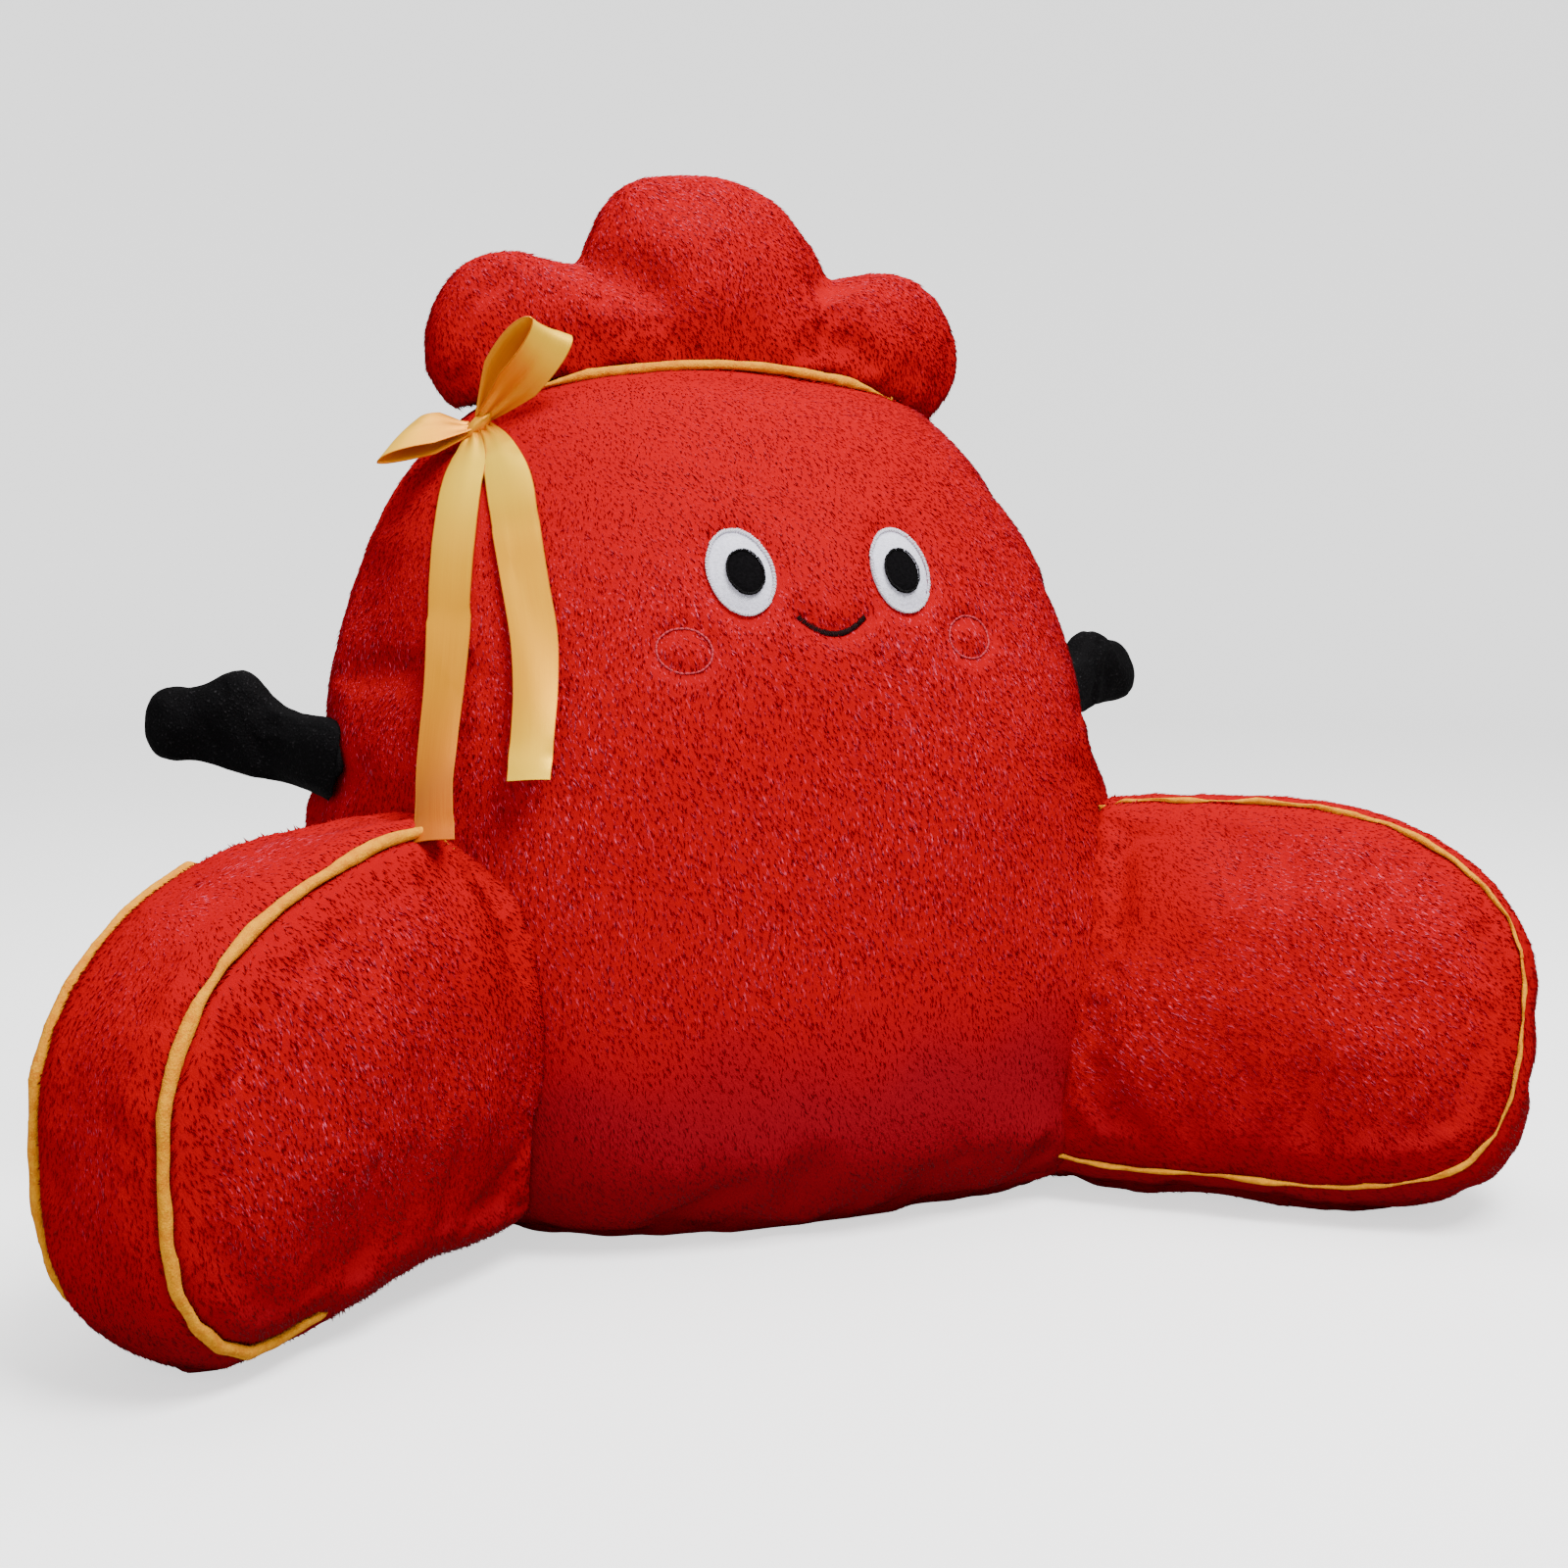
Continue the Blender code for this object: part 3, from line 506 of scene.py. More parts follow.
def settle(name, points):
    """How the stuffing has settled: each soft piece sits a little off its sewn plan.

    x and z stay views of the points, so each step starts from where the last one left them."""
    points = points.copy()
    x, z = points[:, 0], points[:, 2]
    kind = name.split("_")[0]
    if kind in ("arm", "mitt"):
        word = name.split("_")[1]
        root, ahead, inward = limb_plan(kind, word)
        along = (points - root) @ ahead
    if kind == "arm":
        foot = hump(z, 0.0, 0.035) * rise(along, 0.10, 0.08)
        if word == "right":
            z -= 0.0078 * rise(z, 0.07, 0.10)
            if "cord_inner" in name:
                z -= 0.0034 * fall(z, 0.09, 0.05)
            points += np.outer(0.0090 * foot, ahead)
            z += 0.0035 * (hump(z, 0.0, 0.02) * hump(along, 0.045, 0.030))
        else:
            points -= np.outer(0.0060 * foot, ahead)
            z += 0.0080 * (hump(z, 0.0, 0.02) * fall(along, 0.075, 0.05))
            across = (points - root) @ inward
            high = rise(z, 0.09, 0.07)
            z += 0.0055 * high * rise(across, -0.030, 0.025) * hump(along, 0.045, 0.035)
            z -= 0.0190 * high * rise(across, -0.045, 0.045) * fall(along, 0.026, 0.033)
    elif kind == "crest":
        x -= 0.0045 * rise(-x, 0.08, 0.04)
        shoulder = hump(x, -0.040, 0.027) * rise(z, 0.425, 0.02)
        points += np.outer(shoulder, (-0.0036, 0.0, 0.0042))
        z -= 0.0040 * rise(-x, 0.120, 0.02) * rise(z, 0.375, 0.02)
        z -= 0.0045 * (hump(x, 0.054, 0.012) * rise(z, 0.42, 0.02))
    elif kind == "backrest":
        x -= 0.0035 * rise(-x, 0.10, 0.05) * rise(z, 0.17, 0.06) * fall(z, 0.37, 0.04)
        flank = rise(x, 0.08, 0.05) * hump(z, 0.105, 0.045)
        points += np.outer(flank, (0.0085, -0.0030, 0.0))
        corner = rise(x, 0.06, 0.05) * hump(z, 0.0, 0.035)
        points += np.outer(corner, (0.0100, -0.0140, 0.0))
        behind = rise(side_seam_side(points), 0.0, 0.02) * rise(-x, 0.10, 0.05)
        x -= 0.0112 * behind * hump(z, 0.184, 0.024)
    elif kind == "mitt":
        reach = 0.0020
        if word == "left":
            top, low = rise(z, 0.222, 0.012), fall(z, 0.218, 0.012)
            z += top * np.interp(along, *zip(*MITT_TOP))
            z -= low * np.interp(along, *zip(*MITT_UNDERSIDE))
            points += np.outer(fall(along, 0.034, 0.034), (0.0010, -0.0200, 0.0))
        else:
            reach = 0.0015 + 0.0040 * np.clip((0.232 - z) / 0.012, -1.0, 1.0)
        points += np.outer(reach * rise(along, 0.05, 0.02), ahead)
    return points


def lump_and_settle(piece, lumps, slide=0.0):
    """Lifts the fabric by its lumps, slides it and lets the stuffing settle."""
    points = points_of(piece) + normals_of(piece) * lumps[:, None] + slide
    place_points(piece, above_floor(settle(piece.name, points)))


def cover(piece, node):
    """Covers a cushion in plush, marked with its painted glints, its painted shade low down and a
    place for the nap.

    The place is drawn out along the nap, so that the grain runs in streaks."""
    points = points_of(piece)
    along = unit(np.array(NAP[node]))
    across = unit(np.cross(along, (0.0, 0.0, 1.0)))
    combed = [points @ along / COMBED_OUT, points @ across, points @ np.cross(along, across)]
    store(piece, gloss=glint_patches_at(node, points), depth=painted_low_shade_at(node, points),
          combed=np.stack(combed, axis=1))
    finish(piece, material_of("plush_ground", plush_ground), node, slot="red_plush")


# ---------------------------------------------------------------- pile
def glint_patches_at(name, points):
    """Where the pile gets painted glints: in broad patches, but not beside a cord or low down."""
    kind = name.split("_")[0]
    height = points[:, 2]
    cords = [vertex.co for row in SUNK_CORDS for vertex in frame["nodes"][row.node].data.vertices]
    gloss = np.clip(0.74 + 0.40 * waves(points, 0.11, 61), 0.0, 1.0)
    gloss *= rise(height, PAINTED_SHADE_BELOW[kind] - 0.012, 0.045)
    gloss *= rise(gap_to_line(cords, points), 0.008, 0.022)
    if kind == "backrest":
        gloss *= 1 - 0.8 * rise(height, 0.265, 0.06) * (1 - rise(points[:, 0], 0.075, 0.05))
    if kind == "arm":
        beside = gap_to(solids("backrest"), points, 0.10)
        gloss *= 1 - fall(beside, 0.085, 0.04) * rise(height, 0.10, 0.03)
    if kind == "crest":
        gloss *= 0.25 + 0.75 * rise(height, 0.405, 0.03)
    return gloss


def painted_low_shade_at(name, points):
    """How far the pile is painted darker low down, as painted shade: the lowest part of each piece
    lies in its own shade.
    """
    edge = points[:, 2] + 0.006 * waves(points, 0.05, 71)
    return 1 - rise(edge, PAINTED_SHADE_BELOW[name.split("_")[0]] - 0.035, 0.07)


def roots_on(ground, count, weight, rng):
    """Places spread evenly over a cushion as its weight asks, with the normals there."""
    mesh = ground.data
    mesh.calc_loop_triangles()
    corners = np.empty(len(mesh.loop_triangles) * 3, np.int32)
    mesh.loop_triangles.foreach_get("vertices", corners)
    corners = corners.reshape(-1, 3)
    a, b, c = (points_of(ground)[corners[:, k]] for k in range(3))
    area = np.linalg.norm(np.cross(b - a, c - a), axis=1) / 2
    walked = np.cumsum(area * weight((a + b + c) / 3))
    picks = (np.arange(count) + rng.random(count)) / count * walked[-1]
    chosen = np.minimum(np.searchsorted(walked, picks), len(corners) - 1)
    u, v = rng.random((2, count))
    over = u + v > 1
    u[over], v[over] = 1 - u[over], 1 - v[over]
    u, v = u[:, None], v[:, None]
    a, b, c = a[chosen], b[chosen], c[chosen]
    na, nb, nc = (normals_of(ground)[corners[chosen, k]] for k in range(3))
    return a + (b - a) * u + (c - a) * v, unit(na * (1 - u - v) + nb * u + nc * v)


def grow_pile(name, base, weight, bare, seams, seed):
    """Covers a cushion with short leaning locks, each a closed three-sided spike.

    weight gives how thickly they stand, bare marks the roots where none can grow, and the
    locks beside the seams lean over them."""
    rng = np.random.default_rng(seed)
    count, width = PILE_COUNTS[name], settings().pile_width
    root, normal = roots_on(bpy.data.objects[f"{base}_cushion"], count, weight, rng)
    grows = ~bare(root)
    root, normal = root[grows], normal[grows]
    count = len(root)

    lie = np.array(NAP[base])
    lie = unit(lie - normal * (normal @ lie)[:, None])
    sway = rng.normal(0.0, SWAY, count) + 0.25 * waves(root, 0.045, seed + 1)
    lie = unit(lie + np.cross(lie, normal) * sway[:, None])
    gaps, ways = nearest_on(seams, root, 0.012)
    near = fall(gaps, 0.0050, 0.0040)
    lie = lie + unit(ways) * (SEAM_LEAN * near)[:, None]
    lie = unit(lie - normal * np.sum(lie * normal, axis=1)[:, None])
    # depth marks the painted shade low down, where the locks also lie flatter.
    depth = painted_low_shade_at(base, root)
    lift = settings().pile_lift * (0.7 + 0.6 * rng.random(count))
    lift *= (1.0 + 0.30 * waves(root, 0.020, seed + 2)) * (1 - 0.6 * depth)
    lift += 0.35 * near * rng.random(count)
    reach = settings().pile_length * (0.65 + 0.6 * rng.random(count))
    ahead = lie * np.cos(lift)[:, None] + normal * np.sin(lift)[:, None]
    tip = root + ahead * reach[:, None]
    tip[:, 2] = np.maximum(tip[:, 2], TIP_FLOOR)

    half = width / 2 * (0.7 + 0.6 * rng.random(count))
    side = unit(np.cross(ahead, normal))
    above = np.cross(side, ahead)
    sunk = root - normal * ROOT_SUNK
    ring = [sunk + (side * math.cos(turn) + above * math.sin(turn) * 0.5) * half[:, None]
            for turn in (math.radians(210), math.radians(330), math.radians(90))]
    verts = np.stack([*ring, tip], axis=1).reshape(-1, 3)
    verts[:, 2] = np.maximum(verts[:, 2], ROOT_FLOOR)
    order = np.array([[0, 2, 1], [0, 1, 3], [1, 2, 3], [2, 0, 3]])
    piece = joined(name, verts, (np.arange(count)[:, None, None] * 4 + order).reshape(-1, 3))
    # Each lock keeps a share that paints its root darker, as painted shade, and its shares of
    # painted glints and of painted shade low down.
    store(piece, tint=np.repeat(rng.random(count), 4), rise=np.tile([0.0, 0.0, 0.0, 1.0], count),
          gloss=np.repeat(glint_patches_at(base, root), 4), depth=np.repeat(depth, 4),
          lie=np.repeat(normal, 4, axis=0))
    return piece


# ---------------------------------------------------------------- node materials
SHADER, SPECULAR = "Principled BSDF", "Specular IOR Level"


def feed(tree, node, inputs):
    """Gives a node's inputs their values, or links them."""
    for key, value in inputs.items():
        if isinstance(value, bpy.types.NodeSocket):
            tree.links.new(value, node.inputs[key])
        else:
            node.inputs[key].default_value = value
    return node


def put(tree, kind, inputs=None, **values):
    """Adds a shader node, with its options and its inputs' values or links."""
    return feed(tree, give(tree.nodes.new(kind), **values), inputs or {})


def maths(tree, operation, first, second=0.0, clamp=False):
    return put(tree, "ShaderNodeMath", {0: first, 1: second}, operation=operation,
               use_clamp=clamp).outputs[0]


def remap(tree, value, low, high, to_low=0.0, to_high=1.0):
    return put(tree, "ShaderNodeMapRange", {"Value": value, "From Min": low, "From Max": high,
                                            "To Min": to_low, "To Max": to_high}).outputs[0]


def blend_colours(tree, share, first, second):
    """A blend of two colours, each a link or its red, green and blue."""
    first, second = (part if isinstance(part, bpy.types.NodeSocket) else (*part, 1.0)
                     for part in (first, second))
    return put(tree, "ShaderNodeMix", {0: share, 6: first, 7: second}, data_type="RGBA").outputs[2]


def noise(tree, place, scale, detail):
    return put(tree, "ShaderNodeTexNoise",
               {"Vector": place, "Scale": scale, "Detail": detail}).outputs["Fac"]


def stored(tree, name, kind="Fac"):
    """What the mesh stores for each of its points."""
    return put(tree, "ShaderNodeAttribute", attribute_name=name).outputs[kind]


def own_place(tree):
    return put(tree, "ShaderNodeTexCoord").outputs["Object"]


def shade(tree, tone, height, strength, distance, roughness, **values):
    """Gives the shader its colour, its bump and its plain values."""
    bump = put(tree, "ShaderNodeBump", {"Strength": strength, "Distance": distance,
                                        "Height": height})
    feed(tree, tree.nodes[SHADER], {"Base Color": tone, "Normal": bump.outputs[0],
                                    "Roughness": roughness, **values})


def material_of(name, fill_in, *values):
    """The material of this name, its nodes filled in when it is new."""
    material = bpy.data.materials.get(name)
    if not material:
        material = bpy.data.materials.new(name)
        material.use_nodes = True
        fill_in(material.node_tree, *values)
    return material


def nap_in(tree, place, grain, mottle):
    """Short nap: its fine grain as a height, small mottling and a mask of rare glints for painted
    highlights.
    """
    group = bpy.data.node_groups.get("short_nap")
    if not group:
        group = bpy.data.node_groups.new("short_nap", "ShaderNodeTree")
        group.interface.new_socket("Place", in_out="INPUT", socket_type="NodeSocketVector")
        for name, way in (("Grain", "INPUT"), ("Mottle", "INPUT"), ("Height", "OUTPUT"),
                          ("Mottling", "OUTPUT"), ("Glint", "OUTPUT")):
            group.interface.new_socket(name, in_out=way, socket_type="NodeSocketFloat")
        given = group.nodes.new("NodeGroupInput").outputs
        height = noise(group, given["Place"], given["Grain"], 2.0)
        feed(group, group.nodes.new("NodeGroupOutput"), {
            "Height": height, "Mottling": noise(group, given["Place"], given["Mottle"], 3.0),
            "Glint": remap(group, height, 0.62, 0.78)})
    return put(tree, "ShaderNodeGroup", {"Place": place, "Grain": grain, "Mottle": mottle},
               node_tree=group).outputs


def evenness(tree, gloss, depth):
    """How plain the pile looks: where it neither glints nor stands up, and in the painted shade
    low down.
    """
    return maths(tree, "MAXIMUM", remap(tree, depth, 0.0, 1.0, 0.0, 0.95),
                 remap(tree, gloss, 0.0, 0.6, 0.60, 0.0))


def plush_tone(tree, even, depth, lightness, glint_share):
    """From the painted shade red to bright red: plainer where even and painted darker low down as
    painted shade, then its painted glints.
    """
    # Where even, the share tends to plain: painted darker low down, as painted shade.
    plain = remap(tree, depth, 0.0, 1.0, 0.90, 0.20)
    step = maths(tree, "MULTIPLY", maths(tree, "SUBTRACT", plain, lightness), even)
    share = maths(tree, "ADD", lightness, step, clamp=True)
    tone = blend_colours(tree, share, settings().painted_shade_red, settings().bright_red)
    return blend_colours(tree, glint_share, tone, settings().glint)


def plush_ground(tree):
    """The short pile between the larger locks: streaks along the nap, painted darker where the
    grain is low as painted shade, some of them with painted glints.
    """
    nap = nap_in(tree, stored(tree, "combed", "Vector"), 1150.0, 320.0)
    gloss, depth = stored(tree, "gloss"), stored(tree, "depth")
    # Light: the grain's low parts painted darker as painted shade, plus mottling that differs at
    # random.
    light = maths(tree, "ADD", remap(tree, nap["Height"], 0.32, 0.66, 0.70, 1.05),
                  remap(tree, nap["Mottling"], 0.35, 0.65, -0.09, 0.06), clamp=True)
    glint_share = maths(tree, "MULTIPLY", nap["Glint"], gloss, clamp=True)
    tone = plush_tone(tree, evenness(tree, gloss, depth), depth, light, glint_share)
    shade(tree, tone, nap["Height"], 0.4, 0.0010, 0.62, **{SPECULAR: 0.0})


def plush_pile(tree):
    """The locks: painted darker at the root as painted shade, brighter at the tip, a few of them
    with painted glints.
    """
    tint, up, gloss, depth = (stored(tree, name) for name in ("tint", "rise", "gloss", "depth"))
    # Painted shade at each lock's root, times a tone that differs at random from lock to lock.
    light = maths(tree, "MULTIPLY", remap(tree, up, 0.0, 0.8, 0.66, 1.0),
                  remap(tree, tint, 0.0, 1.0, 0.78, 1.06), clamp=True)
    # Painted glints on a few locks, towards their tips.
    glint_share = maths(tree, "MULTIPLY", remap(tree, tint, 0.68, 0.93), remap(tree, up, 0.1, 0.7))
    glint_share = maths(tree, "MULTIPLY", glint_share, gloss, clamp=True)
    even = evenness(tree, gloss, depth)
    own = put(tree, "ShaderNodeNewGeometry").outputs["Normal"]
    mixed = put(tree, "ShaderNodeMix", {0: remap(tree, even, 0.0, 1.0, 0.80, 0.95), 4: own,
                                        5: stored(tree, "lie", "Vector")}, data_type="VECTOR")
    level = put(tree, "ShaderNodeVectorMath", {0: mixed.outputs[1]}, operation="NORMALIZE")
    feed(tree, tree.nodes[SHADER], {
        "Base Color": plush_tone(tree, even, depth, light, glint_share), "Normal": level.outputs[0],
        "Roughness": 0.45, SPECULAR: 0.05, "Specular Tint": (1.0, 0.55, 0.60, 1.0)})


def cord_velour(tree):
    """Yellow velour, its short pile uneven and mottled at random, painted paler on the raised nap
    as a painted highlight, so a little redder in the hollows.
    """
    nap = nap_in(tree, own_place(tree), 1100.0, 260.0)
    red, green, blue = settings().cord
    dark = (red * 0.80, green * 0.62, blue * 0.5)
    # Painted highlight: the paler colour of the raised nap.
    light = (min(red * 1.05, 1.0), green * 1.25, blue * 1.8)
    tone = blend_colours(tree, remap(tree, nap["Mottling"], 0.35, 0.65), dark, settings().cord)
    tone = blend_colours(tree, remap(tree, nap["Height"], 0.50, 0.75, 0.0, 0.8), tone, light)
    shade(tree, tone, nap["Height"], 0.8, 0.0006, 0.8, **{
        SPECULAR: 0.08, "Sheen Weight": 0.05, "Sheen Tint": (1.0, 0.75, 0.30, 1.0)})


def mitt_velour(tree):
    """Black velour with grey specks painted where the pile turns to the light, as painted glints.
    """
    nap = nap_in(tree, own_place(tree), 850.0, 200.0)
    tone = blend_colours(tree, nap["Glint"], settings().velour, PAINTED_GLINT_SPECKS)
    shade(tree, tone, nap["Height"], 0.9, 0.0010, 0.75, **{SPECULAR: 0.04})


def felt(tree, tint, hollow):
    """Felt with a short brushed nap, painted darker in its hollows as painted shade."""
    nap = nap_in(tree, own_place(tree), 750.0, 320.0)
    # Painted shade: the nap's low parts take the felt's colour times the hollow factor.
    tone = blend_colours(tree, remap(tree, nap["Height"], 0.3, 0.65),
                         [part * hollow for part in tint], tint)
    shade(tree, tone, nap["Height"], 0.7, 0.0006, 0.9, **{SPECULAR: 0.03})


def sewing_thread(tree, tint, roughness=0.5):
    """Twisted thread: fine slanting ribs, the grooves between them painted darker as painted
    shade.
    """
    ribs = put(tree, "ShaderNodeTexWave",
               {"Vector": own_place(tree), "Scale": 900.0, "Distortion": 2.0},
               bands_direction="DIAGONAL").outputs["Fac"]
    # Painted shade in the grooves between the ribs.
    tone = blend_colours(tree, ribs, [part * 0.6 for part in tint], tint)
    shade(tree, tone, ribs, 0.4, 0.0002, roughness, **{SPECULAR: 0.10})


def ribbon_satin(tree):
    """Satin: fine lengthwise floats and redder woven edges, painted paler and darker by each
    point's painted sheen: painted highlight and painted shade.
    """
    flat = put(tree, "ShaderNodeUVMap", uv_map="ribbon").outputs[0]
    across = put(tree, "ShaderNodeSeparateXYZ", {0: flat}).outputs["X"]
    selvage = remap(tree, maths(tree, "ABSOLUTE", maths(tree, "SUBTRACT", across, 0.5)),
                    0.478, 0.488)
    floats, weft = (noise(tree, put(tree, "ShaderNodeMapping",
                                    {"Vector": flat, "Scale": scale}).outputs[0], 1.0, detail)
                    for scale, detail in (((160.0, 6.0, 1.0), 3.0), ((10.0, 900.0, 1.0), 2.0)))
    red, green, blue = settings().ribbon
    shine = maths(tree, "ADD", stored(tree, "shine"), remap(tree, floats, 0.3, 0.7, -0.06, 0.06))
    # Painted shade below the middle of the sheen, painted highlight above it: lit and shaded
    # copies of the satin's gold.
    tone = blend_colours(tree, remap(tree, shine, 0.0, 0.5), (red * 0.56, green * 0.27, 0.0),
                         settings().ribbon)
    tone = blend_colours(tree, remap(tree, shine, 0.5, 1.0), tone,
                         (red * 1.21, green * 1.75, blue + 0.02))
    height = maths(tree, "ADD", floats, maths(tree, "MULTIPLY", weft, 0.6))
    shade(tree, blend_colours(tree, selvage, tone, SELVAGE), height, 0.10, 0.0003,
          remap(tree, floats, 0.3, 0.7, 0.36, 0.44),
          **{"Metallic": 0.50, SPECULAR: 0.20, "Anisotropic": 0.4})


def pale_floor(tree):
    """A floor that the camera sees plain and pale, and that throws little light back."""
    seen = put(tree, "ShaderNodeLightPath").outputs["Is Camera Ray"]
    feed(tree, tree.nodes[SHADER], {
        "Base Color": blend_colours(tree, seen, [0.35] * 3, [0.86] * 3),
        "Emission Color": blend_colours(tree, seen, [0.0] * 3, [1.0] * 3),
        "Emission Strength": 1.2, "Roughness": 0.9})


# ---------------------------------------------------------------- operators
class PILLOW_OT_stage(bpy.types.Operator):
    """Sets the pale floor, the soft lights and the camera"""

    bl_idname = "pillow.stage"
    bl_label = "Stage"

    def execute(self, context):
        self.floor()
        world = context.scene.world = bpy.data.worlds.new("studio")
        world.use_nodes = True
        feed(world.node_tree, world.node_tree.nodes["Background"],
             {"Color": (1.0, 1.0, 1.0, 1.0), "Strength": 0.60})
        self.softbox("key", (0.30, -0.90, 1.85), 0.9, 72.0)
        self.softbox("front_fill", (-1.3, -1.7, 0.9), 1.6, 22.0)
        self.softbox("top_light", (0.15, 0.30, 1.85), 0.9, 16.0)
        lens = give(bpy.data.cameras.new("camera"), sensor_width=36.0, lens=50.02,
                    shift_x=-0.0025, clip_start=0.01)
        camera = bpy.data.objects.new("camera", lens)
        camera.location = (-0.3675, -0.9272, 0.3141)
        camera.rotation_euler = (math.radians(90 - 6.68), 0.0, math.radians(-21.96))
        context.scene.collection.objects.link(camera)
        context.scene.camera = camera
        return {"FINISHED"}

    def floor(self):
        """A disc whose rim is drawn up into a soft wall."""
        floor = started(bpy.ops.mesh.primitive_circle_add, "floor", vertices=96, radius=2.6,
                        fill_type="NGON")
        edit(floor, bpy.ops.mesh.inset, thickness=0.8)
        mesh = floor.data
        for vertex in mesh.vertices:
            vertex.select = vertex.co.length > 2.2
        for edge in mesh.edges:
            edge.select = all(mesh.vertices[i].select for i in edge.vertices)
        for face in mesh.polygons:
            face.select = False
        bpy.ops.object.mode_set(mode="EDIT")
        bpy.ops.mesh.select_mode(type="EDGE")
        for height, wider in ((0.10, 1.16), (0.28, 1.09), (0.55, 1.05), (1.2, 1.03)):
            bpy.ops.mesh.extrude_region_move(TRANSFORM_OT_translate={"value": (0, 0, height)})
            bpy.ops.transform.resize(value=(wider, wider, 1.0))
        bpy.ops.object.mode_set(mode="OBJECT")
        mesh.shade_smooth()
        mesh.materials.append(material_of("pale_floor", pale_floor))

    def softbox(self, name, place, size, power):
        light = give(bpy.data.lights.new(name, "AREA"), shape="SQUARE", size=size, energy=power)
        lamp = bpy.data.objects.new(name, light)
        lamp.location = place
        aim = Vector((0.0, -0.02, 0.20)) - Vector(place)
        lamp.rotation_euler = aim.to_track_quat("-Z", "Y").to_euler()
        bpy.context.scene.collection.objects.link(lamp)


def on_front(tree, x, z):
    """The backrest's front at a place of the sewing plan: point and normal."""
    start = Vector((x + SHIFT.x, -1.0, z))
    return tree.ray_cast(start, Vector((0.0, 1.0, 0.0)))[:2]


def smile_line(steps=40):
    """A plain curve, up at both ends."""
    x, z = SMILE_CENTRE
    return [(x + SMILE_HALF * t, z + SMILE_DIP * (t * t - 0.5))
            for t in (2 * i / steps - 1 for i in range(steps + 1))]


def ring_line(x, z, half_width, half_height, steps=48):
    turns = [2 * math.pi * i / steps for i in range(steps)]
    return [(x + half_width * math.cos(t), z + half_height * math.sin(t)) for t in turns]


class PILLOW_OT_backrest(bpy.types.Operator):
    """Fills the backrest and draws in its seams, the eyes' hollows and the stitched face"""

    bl_idname = "pillow.backrest"
    bl_label = "Backrest"

    def execute(self, context):
        piece = stuffed("backrest", "backrest_cushion", side_seam_gap)
        draw_in(piece, side_seam_gap(points_of(piece)), 0.0030, 0.0045)
        for line, depth, width in self.pulls(tree_of(piece)):
            draw_in(piece, gap_to_line(line, points_of(piece)), depth, width)
        points = points_of(piece)
        lump_and_settle(piece, waves(points, 0.085, 3) * 0.0012 * rise(points[:, 2], 0.0, 0.06))
        cover(piece, "backrest")
        return {"FINISHED"}

    def pulls(self, tree):
        """The sewn lines of the face, each with the depth and width of its hollow."""
        lines = [(smile_line(), 0.0030, 0.0060)]
        lines += [(ring_line(*centre, *CHEEK_HALF), 0.0020, 0.0040)
                  for centre in CHEEK_CENTRES.values()]
        lines += [(ring_line(eye.x, eye.z, eye.half_width, eye.half_height), 0.0022, 0.0060)
                  for eye in PATCHES[:2]]
        return [([on_front(tree, x, z)[0] for x, z in line], depth, width)
                for line, depth, width in lines]


class PILLOW_OT_arms(bpy.types.Operator):
    """Fills the two bolsters between their corded seams"""

    bl_idname = "pillow.arms"
    bl_label = "Arms"

    def execute(self, context):
        backrest = solids("backrest")
        for word in ("left", "right"):
            cords = solids(f"arm_{word}_cord_inner", f"arm_{word}_cord_outer")

            def held(points, cords=cords):
                return np.maximum(np.minimum(gap_to(cords, points), gap_to(backrest, points)), 0)

            piece = stuffed(f"arm_{word}", f"arm_{word}_cushion", held)
            points = points_of(piece)
            gaps = gap_to(cords, points, 0.03)
            rolled = self.rolled(points) if word == "left" else np.zeros(len(points))
            near = np.clip(CORD_SINK[word] - gaps, 0.0, 0.0050) * (1 - rolled)
            away = rise(gaps, 0.004, 0.02) * rise(points[:, 2], 0.0, 0.03)
            lump = waves(points, 0.060, 11) * 0.0010 * away
            points += normals_of(piece) * (lump - near)[:, None]
            bulge = ROLL_BULGE * hump(points[:, 2], 0.014, 0.022)
            points += np.outer(bulge * rolled, limb_plan("arm", word)[2])
            place_points(piece, above_floor(settle(piece.name, points)))
            cover(piece, f"arm_{word}")
        return {"FINISHED"}

    def rolled(self, points):
        """Where the left arm's inner panel rolls over the cord along its lower edge."""
        inner = frame["nodes"]["arm_left_cord_inner"].data.vertices
        beside = gap_to_line([vertex.co for vertex in inner], points)
        back = rise(points[:, 1], ROLL_FROM_Y, 0.020)
        return back * fall(beside, 0.055, 0.03) * (points[:, 2] < 0.07)


class PILLOW_OT_crest(bpy.types.Operator):
    """Fills the three-lobed crest and draws in its rim seam"""

    bl_idname = "pillow.crest"
    bl_label = "Crest"

    def execute(self, context):
        backrest = solids("backrest")

        def rim(points):
            return np.abs(points[:, 1] - SHIFT.y - CREST_Y)

        def held(points):
            return np.minimum(rim(points), np.maximum(gap_to(backrest, points), 0))

        piece = stuffed("crest", "crest_cushion", held)
        draw_in(piece, rim(points_of(piece)), 0.0016, 0.0030)
        lump_and_settle(piece, waves(points_of(piece), 0.055, 23) * 0.0012)
        cover(piece, "crest")
        return {"FINISHED"}


